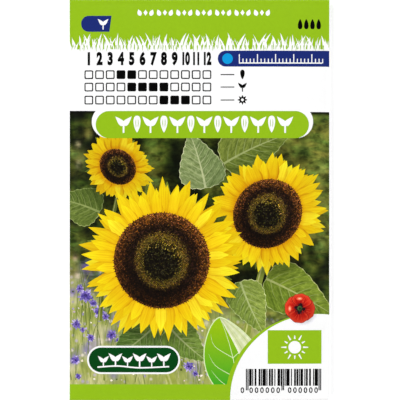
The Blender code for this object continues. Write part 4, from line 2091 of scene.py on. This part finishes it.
@dataclass
class Poppy(PrintElement):
    """A red poppy at the rim of the corner panel, with its soft shadow on the white."""

    panel: CornerPanel
    x: float = 33.2
    y: float = -35.9
    seed: int = 5
    light_from: float = 2.2
    smooth_tone: float = 0.06
    shadow_steps: int = 7
    petals: tuple[tuple[float, float, float], ...] = (
        (2.9, 4.95, 1.12), (-0.15, 4.9, 1.1), (1.35, 4.85, 1.0), (4.55, 4.7, 1.05),
    )
    edge_tint: str = "#8C120D"
    reds: tuple[str, ...] = (
        "#E5452C", "#E13A22", "#DA2F1B", "#D32616", "#CB2013", "#C01A11", "#AE150F", "#96110D",
    )
    crease_tints: tuple[str, ...] = ("#EA5035", "#AE1710", "#9C130E")
    glints: tuple[tuple[float, float, str], ...] = (
        (2.1, 0.62, "#E85236"), (1.7, 0.46, "#EF6E4E"), (1.25, 0.3, "#F79472"), (0.75, 0.16, "#FFC4A6"),
    )
    blotch_tint: str = "#2A0810"
    stamens: int = 46
    stamen_tints: tuple[str, ...] = ("#16101A", "#3A2E3C", "#0C080E")
    pod_tints: tuple[str, str, str] = ("#20301C", "#4C6638", "#1A2416")

    def dab(self, outline: Array, tint: str) -> None:
        """Paints a smooth patch."""
        self.art.paint(outline, Ink.DISCS, tint, tone=self.smooth_tone)

    def petal(self, angle: float, size: float, half_turn: float) -> Array:
        """Outlines a broad petal, from the poppy's middle out to a crinkled rim.

        Args:
            angle: The direction that it grows in.
            size: Its length.
            half_turn: Half the angle that it spans.

        Returns:
            The outline.
        """
        turns = np.linspace(-1, 1, 27)
        rim = size * (1 - 0.13 * turns**4 - 0.07 * turns**2) * (1 + 0.016 * np.sin(13 * turns + 5 * angle))
        rim[[0, -1]] *= 0.82
        around = angle + turns * half_turn
        edge = np.stack([self.x + rim * np.cos(around), self.y + rim * np.sin(around)], 1)
        return np.vstack([[(self.x, self.y)], edge])

    @staticmethod
    def dimmed(code: str, share: float) -> str:
        """A hex colour with each of its parts lowered to this share."""
        return "#" + "".join(f"{round(int(code[k : k + 2], 16) * share):02X}" for k in (1, 3, 5))

    def paint(self) -> None:
        """Paints the shadow, the petals and the heart."""
        self.art.chance.seed(self.seed)
        self.paint_shadow()
        for angle, size, half_turn in self.petals:
            self.paint_petal(angle, size, half_turn)
        self.paint_heart()

    def paint_shadow(self) -> None:
        """Paints the shadow on the panel: nested pale patches, each a little darker."""
        for i in range(self.shadow_steps):
            shade = circle(self.x + 0.9, self.y - 1.5, 5.0 - 0.27 * i, 4.3 - 0.24 * i, 36)
            level = 250 - 8 * i
            cool = f"#{level:02X}{level - 1:02X}{min(255, level + 3):02X}"
            self.dab(self.panel.below_edge(shade), cool)

    def paint_petal(self, angle: float, size: float, half_turn: float) -> None:
        """Paints a petal: reds that darken inwards, creases, a glint where it faces the light, and a blotch.

        Args:
            angle, size, half_turn: The petal's direction, length and half span.
        """
        draw = self.art.chance
        self.dab(self.petal(angle, size * 1.025, half_turn * 1.04), self.edge_tint)
        lit = 0.5 + 0.5 * math.cos(angle - self.light_from)
        for i, tint in enumerate(self.reds):
            part = 1 - 0.085 * i
            outline = self.petal(angle, size * part, half_turn * (0.8 + 0.2 * part))
            self.dab(outline, self.dimmed(tint, 0.86 + 0.14 * lit))
        for _ in range(14):
            way = angle + draw.uniform(-0.85, 0.85) * half_turn
            near, far = draw.uniform(0.22, 0.5) * size, draw.uniform(0.7, 0.94) * size
            swing = draw.uniform(-0.04, 0.04)
            route = [polar(self.x, self.y, way + swing * k, away)
                     for k, away in enumerate(np.linspace(near, far, 5))]
            self.dab(ribbon(route, [0.0, 0.07, 0.11, 0.09, 0.0]), draw.choice(self.crease_tints))
        if lit > 0.35:
            self.paint_glint(angle + 0.25, 0.68 * size)
        self.dab(spindle(self.x, self.y, angle, 2.0, 0.8, petal_profile, count=8), self.blotch_tint)

    def paint_glint(self, angle: float, away: float) -> None:
        """Paints a soft glint across a petal.

        Args:
            angle: Its direction from the poppy's middle.
            away: How far out it lies.
        """
        x, y = polar(self.x, self.y, angle, away)
        for reach, half_width, tint in self.glints:
            foot = x + reach / 2 * math.sin(angle), y - reach / 2 * math.cos(angle)
            across = spindle(*foot, angle + math.pi / 2, reach, half_width, oval_profile, count=10)
            self.dab(across, tint)

    def paint_heart(self) -> None:
        """Paints the ring of dark stamens and the green pod."""
        draw = self.art.chance
        for _ in range(self.stamens):
            angle, away = draw.uniform(0, 2 * math.pi), draw.uniform(1.05, 1.9)
            stamen = circle(*polar(self.x, self.y, angle, away), draw.uniform(0.09, 0.15), count=6)
            self.dab(stamen, draw.choice(self.stamen_tints))
        rim, cap, ray = self.pod_tints
        self.dab(circle(self.x, self.y, 0.95, count=18), rim)
        self.dab(circle(self.x - 0.1, self.y + 0.12, 0.72, count=16), cap)
        for i in range(9):
            angle = 2 * math.pi * i / 9
            self.dab(spindle(self.x, self.y, angle, 0.8, 0.09, petal_profile, count=5), ray)


@dataclass
class FrontPrint:
    """The front of the packet: bands, tabs, charts and labels round the picture."""

    form: PacketForm
    over: float = 0.2

    def __post_init__(self) -> None:
        """Works out how far the print runs past the folds, and sets the picture in it."""
        form = self.form
        self.art = Artwork()
        self.bleed = Bleed(form.left_bleed - self.over, -(form.flap_foot + form.bottom_reach),
                           form.right_bleed + self.over, form.flap_foot + form.top_reach)
        self.garden = Garden(self.art, self.bleed)

    def draw(self) -> Artwork:
        """Draws every shape of the front in painting order.

        Returns:
            The artwork.
        """
        art, bleed, garden = self.art, self.bleed, self.garden
        corner = CornerPanel(art, bleed)
        for element in (
            GrassBand(art, bleed), TopMarks(art), MonthChart(art), HeightPill(art, bleed), garden,
            LeafLabel(art), FootBand(art, bleed, garden.bottom), LongPill(art, garden),
            SeedlingLabel(art), corner, BarPattern(art), Poppy(art, corner),
        ):
            element.paint()
        return art


# ---------------------------------------------------------------- the back's print


@dataclass
class SowingCalendar(PrintElement):
    """Numbered months over two rows of boxes."""

    panel: Box = (-34, 22, 34, 43)
    first: float = -29.7
    step: float = 5.4
    rows: tuple[tuple[float, tuple[int, ...], Ink], ...] = (
        (34.5, (3, 4), Ink.GREEN), (29.0, (6, 7, 8), Ink.NAVY),
    )

    def paint(self) -> None:
        """Paints the panel, the figures and the boxes."""
        self.art.paint(rounded(*self.panel, 1.5), Ink.BARE)
        rows = [MonthBoxes(self.art, self.first, self.step, top, filled, ink, 2.3, 4.2, 0.25, (0.5, 0.35))
                for top, filled, ink in self.rows]
        for month in range(12):
            self.art.numeral(str(month + 1), self.first + month * self.step, 37.2, 3.0, 0.75)
            for row in rows:
                row.paint_box(month)


@dataclass
class SowingPanel(PrintElement):
    """Seeds under a line of soil, three seedlings and a flower, each further on."""

    panel: Box = (-34, -10, 34, 18)
    soil: Box = (-31, -1.2, 31, -0.6)
    ground: float = -0.8
    flower: Point = (23, 11.3)

    def paint(self) -> None:
        """Paints the panel and its plants."""
        self.art.paint(rounded(*self.panel, 1.5), Ink.BARE)
        self.art.paint(rectangle(*self.soil), Ink.DEEP_GREEN)
        for i in range(5):
            self.art.seed(-29 + i * 4.4, -6.0, 3.4, 0.95, Ink.BLACK)
        for i in range(3):
            self.art.sprout(-4 + i * 6.0, self.ground, 5.0 + 1.6 * i, Ink.GREEN)
        x, y = self.flower
        self.art.paint(ribbon([(x, self.ground), (x, 8.5)], [0.8, 0.7]), Ink.GREEN)
        for i in range(14):
            self.art.paint(spindle(x, y, i * math.pi / 7, 5.0, 0.85, petal_profile, count=7), Ink.GREEN)
        self.art.paint(circle(x, y, 2.2), Ink.DEEP_GREEN)


@dataclass
class CarePanels(PrintElement):
    """Signs for sun, water and spacing, over ruled lines."""

    first: Box = (-34, -30, -12.7, -14)
    step: float = 23.3
    sun: Point = (-23.3, -22)
    drops: tuple[Point, ...] = ((-4.5, -25), (0.0, -21.5), (4.5, -25))
    plants: Point = (18.5, 28.5)
    lines: int = 4
    line_step: float = 3.2

    def paint(self) -> None:
        """Paints the panels, the signs and the lines, the last of them shorter."""
        left, foot, right, top = self.first
        for i in range(3):
            self.art.paint(rounded(left + i * self.step, foot, right + i * self.step, top, 1.5), Ink.BARE)
        self.art.paint(circle(*self.sun, 3.0), Ink.GREEN)
        self.art.rays(*self.sun, 4.0, (6.2,), (0.8, 0.4), 8, Ink.GREEN)
        for x, y in self.drops:
            self.art.seed(x, y + 5.2, 5.2, 1.5, Ink.CYAN, -1, 10)
        for x in self.plants:
            self.art.sprout(x, -26.5, 6.0, Ink.DEEP_GREEN)
        self.art.paint(rectangle(self.plants[0], -28.3, self.plants[1], -27.9), Ink.BLACK)
        for i in range(self.lines):
            end = 25 if i == self.lines - 1 else 34
            low, high = (y - i * self.line_step for y in (-34.6, -34.2))
            self.art.paint(rectangle(-34, low, end, high), Ink.DEEP_GREEN)


@dataclass
class BackPrint:
    """The back of the packet, as someone who holds it reads it: plain signs on how to sow."""

    panel: Box = (-37, -47, 37, 46)
    corner: float = 3.0

    def draw(self) -> Artwork:
        """Draws every shape of the back in painting order.

        Returns:
            The artwork.
        """
        art = Artwork()
        art.paint(rounded(*self.panel, self.corner), Ink.PALE_GREEN)
        for element in (SowingCalendar(art), SowingPanel(art), CarePanels(art)):
            element.paint()
        return art


# ---------------------------------------------------------------- the packet


@dataclass
class Packet:
    """The packet as made: the folded blank, the print on its two sides, and the seeds in it."""

    form: PacketForm = field(default_factory=PacketForm)
    paper: CoatedPaper = field(default_factory=CoatedPaper)
    hair: float = 0.01
    back_inset: float = 1.0
    back_columns: int = 58
    back_rows: int = 88

    def build(self) -> None:
        """Builds and dresses every piece."""
        pieces = [self.build_blank()]
        finishes = self.finishes()
        for side in (self.front_side(), self.back_side()):
            for piece in side.pieces(finishes):
                pieces.append(piece)
        for piece in pieces:
            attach(piece, "root")
            log.info("%s: %d faces", piece.name, len(piece.data.polygons))
        self.dress_seeds()

    @staticmethod
    def finishes() -> dict[Ink, bpy.types.Material]:
        """Makes the material of each ink.

        Returns:
            The materials, in the order that the pieces are made in.
        """
        inks = {
            Ink.GREEN: SpotInk(name="light_green_offset_ink", colour="#92BC19"),
            Ink.NAVY: SpotInk(name="navy_offset_ink", colour="#1A2A72"),
            Ink.CYAN: SpotInk(name="cyan_offset_ink", colour="#0B98DA"),
            Ink.BLACK: SpotInk(name="black_offset_ink", colour="#000000"),
            Ink.DEEP_GREEN: SpotInk(name="deep_green_offset_ink", colour="#004212"),
            Ink.PALE_GREEN: SpotInk(name="pale_green_offset_tint", colour="#DCECB4"),
            Ink.MID_GREEN: SpotInk(name="mid_green_offset_blend", colour="#94BE10", foot_colour="#41A824",
                                   foot_mm=-61.0, head_mm=-42.0),
            Ink.GARDEN: GardenInk(),
            Ink.LEAVES: LeafInk(),
            Ink.PETALS: PetalInk(),
            Ink.DISCS: FloretInk(),
        }
        return {ink: finish.build() for ink, finish in inks.items()}

    def flat_grid(self) -> tuple[Array, Array]:
        """Lays a grid over the flat blank and cuts it at the blank's edges.

        Returns:
            The grid's flat places, and the numbers of the four corners of each face.
        """
        form, hair = self.form, 1e-6
        rows, columns = form.rows(), form.columns()
        points, faces = [], []
        for t in rows:
            left_edge, right_edge = (float(edge) for edge in form.flap_edges(np.array(t)))
            for s in columns:
                if abs(t) > form.end:
                    share = (s - form.ear_left) / (form.ear_right - form.ear_left)
                    points.append((left_edge + (right_edge - left_edge) * share, t))
                else:
                    share = max(0.0, s - form.right - math.pi * form.right_curl) / form.seam_reach
                    points.append((s, t * (1 - share * form.seam_taper / form.end)))
        for j, (low, high) in enumerate(zip(rows, rows[1:])):
            in_tube = max(abs(low), abs(high)) <= form.end + hair
            for i, (left, right) in enumerate(zip(columns, columns[1:])):
                in_flap = left >= form.ear_left - hair and right <= form.ear_right + hair
                if in_tube or in_flap:
                    below, above = j * len(columns) + i, (j + 1) * len(columns) + i
                    faces.append((below, below + 1, above + 1, above))
        return np.array(points), np.array(faces)

    def build_blank(self) -> bpy.types.Object:
        """Makes the folded paper as one sheet with its thickness.

        Returns:
            The sheet, which stands for the five paper solids.
        """
        points, faces = self.flat_grid()
        used, numbers = np.unique(faces, return_inverse=True)
        folded = self.form.sheet(points[used, 0], points[used, 1])
        blank = mesh_object("folded_paper", folded, numbers.reshape(-1, 4), self.paper.build())
        body = blank.modifiers.new("paper", "SOLIDIFY")
        body.thickness = self.form.paper * MM
        body.offset = 0.0
        body.use_even_offset = True
        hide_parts("front_panel", "back_panel", "side_seam_flap", "top_flap", "bottom_flap")
        return blank

    def on_front(self, s: Array, t: Array) -> Array:
        """Finds where the blank has paper for the front's print.

        Args:
            s: Places across the blank.
            t: Places along it.

        Returns:
            True for each place that has.
        """
        form = self.form
        in_panel = (s > form.left_bleed) & (s < form.right_bleed) & (np.abs(t) < form.end)
        left_edge, right_edge = form.flap_edges(t)
        foot, top = form.end_lines(-1)[-1], form.end_lines(1)[-1]
        in_flap = (s > left_edge + self.hair) & (s < right_edge - self.hair) & (t > foot) & (t < top)
        return in_panel | (in_flap & (np.abs(t) >= form.end))

    def fold_front(self, s: Array, t: Array) -> tuple[Array, Array]:
        """Lays the print on the folded paper's outside: its places, and the directions that they face."""
        return self.form.outside(s, t, self.form.paper / 2 + INK_LIFT)

    def front_side(self) -> PrintedSide:
        """Draws the front and cuts it to a mosaic.

        Returns:
            The front's print.
        """
        form, front = self.form, FrontPrint(self.form)
        art = front.draw()
        for side in (-1, 1):
            t = np.array([side * form.end, side * form.flap_foot, form.end_lines(side)[-1]])
            lefts, rights = (np.stack([edge, t], 1) for edge in form.flap_edges(t))
            art.shapes.insert(0, Shape(np.vstack([lefts, rights[::-1]])[::side], Ink.BARE))
        s_lines = [form.left_bleed, *form.curl_lines(form.left, form.left_curl, -1)[::-1],
                   *form.graded_lines(form.left, form.right),
                   *form.curl_lines(form.right, form.right_curl, 1), form.right_bleed]
        mosaic = art.cut(s_lines, form.rows())
        log.info("front: %d shapes, %d triangles", len(art.shapes), len(mosaic.triangles))
        return PrintedSide("front", art, mosaic, self.on_front, self.fold_front, front.garden)

    def on_back(self, s: Array, t: Array) -> Array:
        """True where the back panel has paper for its print, at any place along it."""
        return np.abs(s) < self.form.right - self.back_inset

    def fold_back(self, s: Array, t: Array) -> tuple[Array, Array]:
        """Lays the print on the outside of the back panel, which is read from below.

        Args:
            s: Places across the back's print.
            t: Places along it.

        Returns:
            The places and the directions that they face, one row each.
        """
        form = self.form
        past = form.left - math.pi * form.left_curl - (-s - form.left)
        return form.outside(past, t, form.paper / 2 + INK_LIFT)

    def back_side(self) -> PrintedSide:
        """Draws the back and cuts it to a mosaic.

        Returns:
            The back's print.
        """
        art = BackPrint().draw()
        half, end = self.form.right - self.back_inset, self.form.end - self.form.back_margin
        mosaic = art.cut(np.linspace(-half, half, self.back_columns).tolist(),
                         np.linspace(-end, end, self.back_rows).tolist())
        log.info("back: %d shapes, %d triangles", len(art.shapes), len(mosaic.triangles))
        return PrintedSide("back", art, mosaic, self.on_back, self.fold_back)

    def dress_seeds(self) -> None:
        """Gives each seed its striped husk."""
        names = [name for name in sorted(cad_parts) if name.startswith("seed_")]
        for name, (x, y, turn) in zip(names, self.form.seeds):
            husk = StripedHusk(name=f"striped_husk_{name}", turn=turn, middle=(x, y))
            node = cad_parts[name]
            node.data.materials.clear()
            node.data.materials.append(husk.build())


# ---------------------------------------------------------------- floor, light and camera


@dataclass
class Studio:
    """A white table top under soft light, seen from straight above.

    The sky is bright round the horizon and dark overhead, as under a camera's hood, so that the varnish
    mirrors nothing towards the camera. The table top is there only for what looks down on it, so that the
    packet's back is lit when it is seen from below.
    """

    floor_half: float = 600.0
    floor_drop: float = 0.05
    floor_white: str = "#FAFAFA"
    floor_roughness: float = 0.9
    floor_gloss: float = 0.1
    floor_glow: float = 0.24
    camera_height: float = 1300.0
    camera_reach: float = 10000.0
    frame_height: float = 132.7
    camera_x: float = 0.17
    sensor: float = 36.0
    light_height: float = 560.0
    light_away: float = 800.0
    light_size: float = 520.0
    light_watts: float = 3.08
    light_turn: float = 130.0
    light_shares: tuple[float, ...] = (1.35, 1.0, 0.8, 1.0)
    world_strength: float = 0.8
    hood_strength: float = 0.03
    hood_from: float = 0.45
    hood_full: float = 0.85
    backdrop_heights: Point = (0.15, 0.5)
    backdrop_strengths: Point = (1.0, 0.72)

    def build(self) -> None:
        """Makes the floor, the lights, the sky and the camera."""
        self.build_floor()
        self.build_lights()
        self.build_sky()
        self.build_camera()
        bpy.context.scene.view_settings.view_transform = "Standard"

    def build_floor(self) -> None:
        """Makes a matt white board, which is clear from below so that the packet's back can be seen."""
        board = Graph(bpy.data.materials.new("matt_white_board"))
        board.feed("Principled BSDF", {
            "Base Color": rgba(self.floor_white), "Roughness": self.floor_roughness,
            "Specular IOR Level": self.floor_gloss, "Emission Color": (1, 1, 1, 1),
            "Emission Strength": self.floor_glow,
        })
        behind = board.add("NewGeometry").outputs["Backfacing"]
        above = board.add("Math", {0: 1.0, 1: behind}, operation="SUBTRACT")
        looked_at = board.add("LightPath").outputs["Is Camera Ray"]
        seen = board.add("Math", {0: above, 1: looked_at}, operation="MULTIPLY")
        layers = {0: seen, 1: board.add("BsdfTransparent"), 2: board.tree.nodes["Principled BSDF"]}
        board.feed("Material Output", {"Surface": board.add("MixShader", layers)})
        half, drop = self.floor_half, -self.floor_drop
        corners = np.column_stack([rectangle(-half, -half, half, half), np.full(4, drop)])
        floor = mesh_object("table_top", corners, np.array([[0, 1, 2, 3]]), board.owner)
        floor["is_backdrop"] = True

    def build_lights(self) -> None:
        """Puts four soft boxes round the table, the first a little stronger."""
        for i, share in enumerate(self.light_shares):
            angle = math.radians(self.light_turn + 90 * i)
            data = bpy.data.lights.new(f"soft_box_{i + 1}", "AREA")
            data.size = self.light_size * MM
            data.energy = self.light_watts * share
            lamp = bpy.data.objects.new(data.name, data)
            lamp.location = Vector((*polar(0, 0, angle, self.light_away), self.light_height)) * MM
            lamp.rotation_euler = (-lamp.location).to_track_quat("-Z", "Y").to_euler()
            bpy.context.scene.collection.objects.link(lamp)

    def build_sky(self) -> None:
        """Makes the sky, and the even backdrop that is seen in its place."""
        sky = Graph(bpy.data.worlds.new("even_sky"))
        way = sky.add("TexCoord").outputs["Generated"]
        height = sky.add("SeparateXYZ", {"Vector": way}).outputs["Z"]
        hooded = sky.add("MapRange", {
            "Value": height, "From Min": self.hood_from, "From Max": self.hood_full,
            "To Min": self.world_strength, "To Max": self.hood_strength,
        }, interpolation_type=Ease.SOFT.value)
        (low, high), (bright, dim) = self.backdrop_heights, self.backdrop_strengths
        backdrop = sky.add("MapRange", {
            "Value": height, "From Min": low, "From Max": high, "To Min": bright, "To Max": dim,
        })
        looked_at = sky.add("LightPath").outputs["Is Camera Ray"]
        strength = sky.add("Mix", {"Factor": looked_at, "A": hooded, "B": backdrop})
        sky.feed("Background", {"Color": (1, 1, 1, 1), "Strength": strength})
        bpy.context.scene.world = sky.owner

    def build_camera(self) -> None:
        """Puts a long lens straight above the packet, with its height filling the frame."""
        data = bpy.data.cameras.new("overhead")
        data.sensor_width = self.sensor
        data.lens = self.sensor * self.camera_height / self.frame_height
        data.clip_end = self.camera_reach * MM
        camera = bpy.data.objects.new("overhead", data)
        camera.location = Vector((self.camera_x, 0, self.camera_height)) * MM
        bpy.context.scene.collection.objects.link(camera)
        bpy.context.scene.camera = camera


def write_sizes() -> None:
    """Turns the solids' box and the dressed model's box into plain lists; they are not written out."""
    boxes = {"cad": CAD_BOX, "visual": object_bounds()}
    plain = {name: [list(corner) for corner in box] for name, box in boxes.items()}


def main() -> None:
    """Builds the packet and its studio."""
    logging.basicConfig(level=logging.INFO, format="%(name)s %(message)s")
    Studio().build()
    Packet().build()
    write_sizes()


if __name__ == "__main__":
    main()
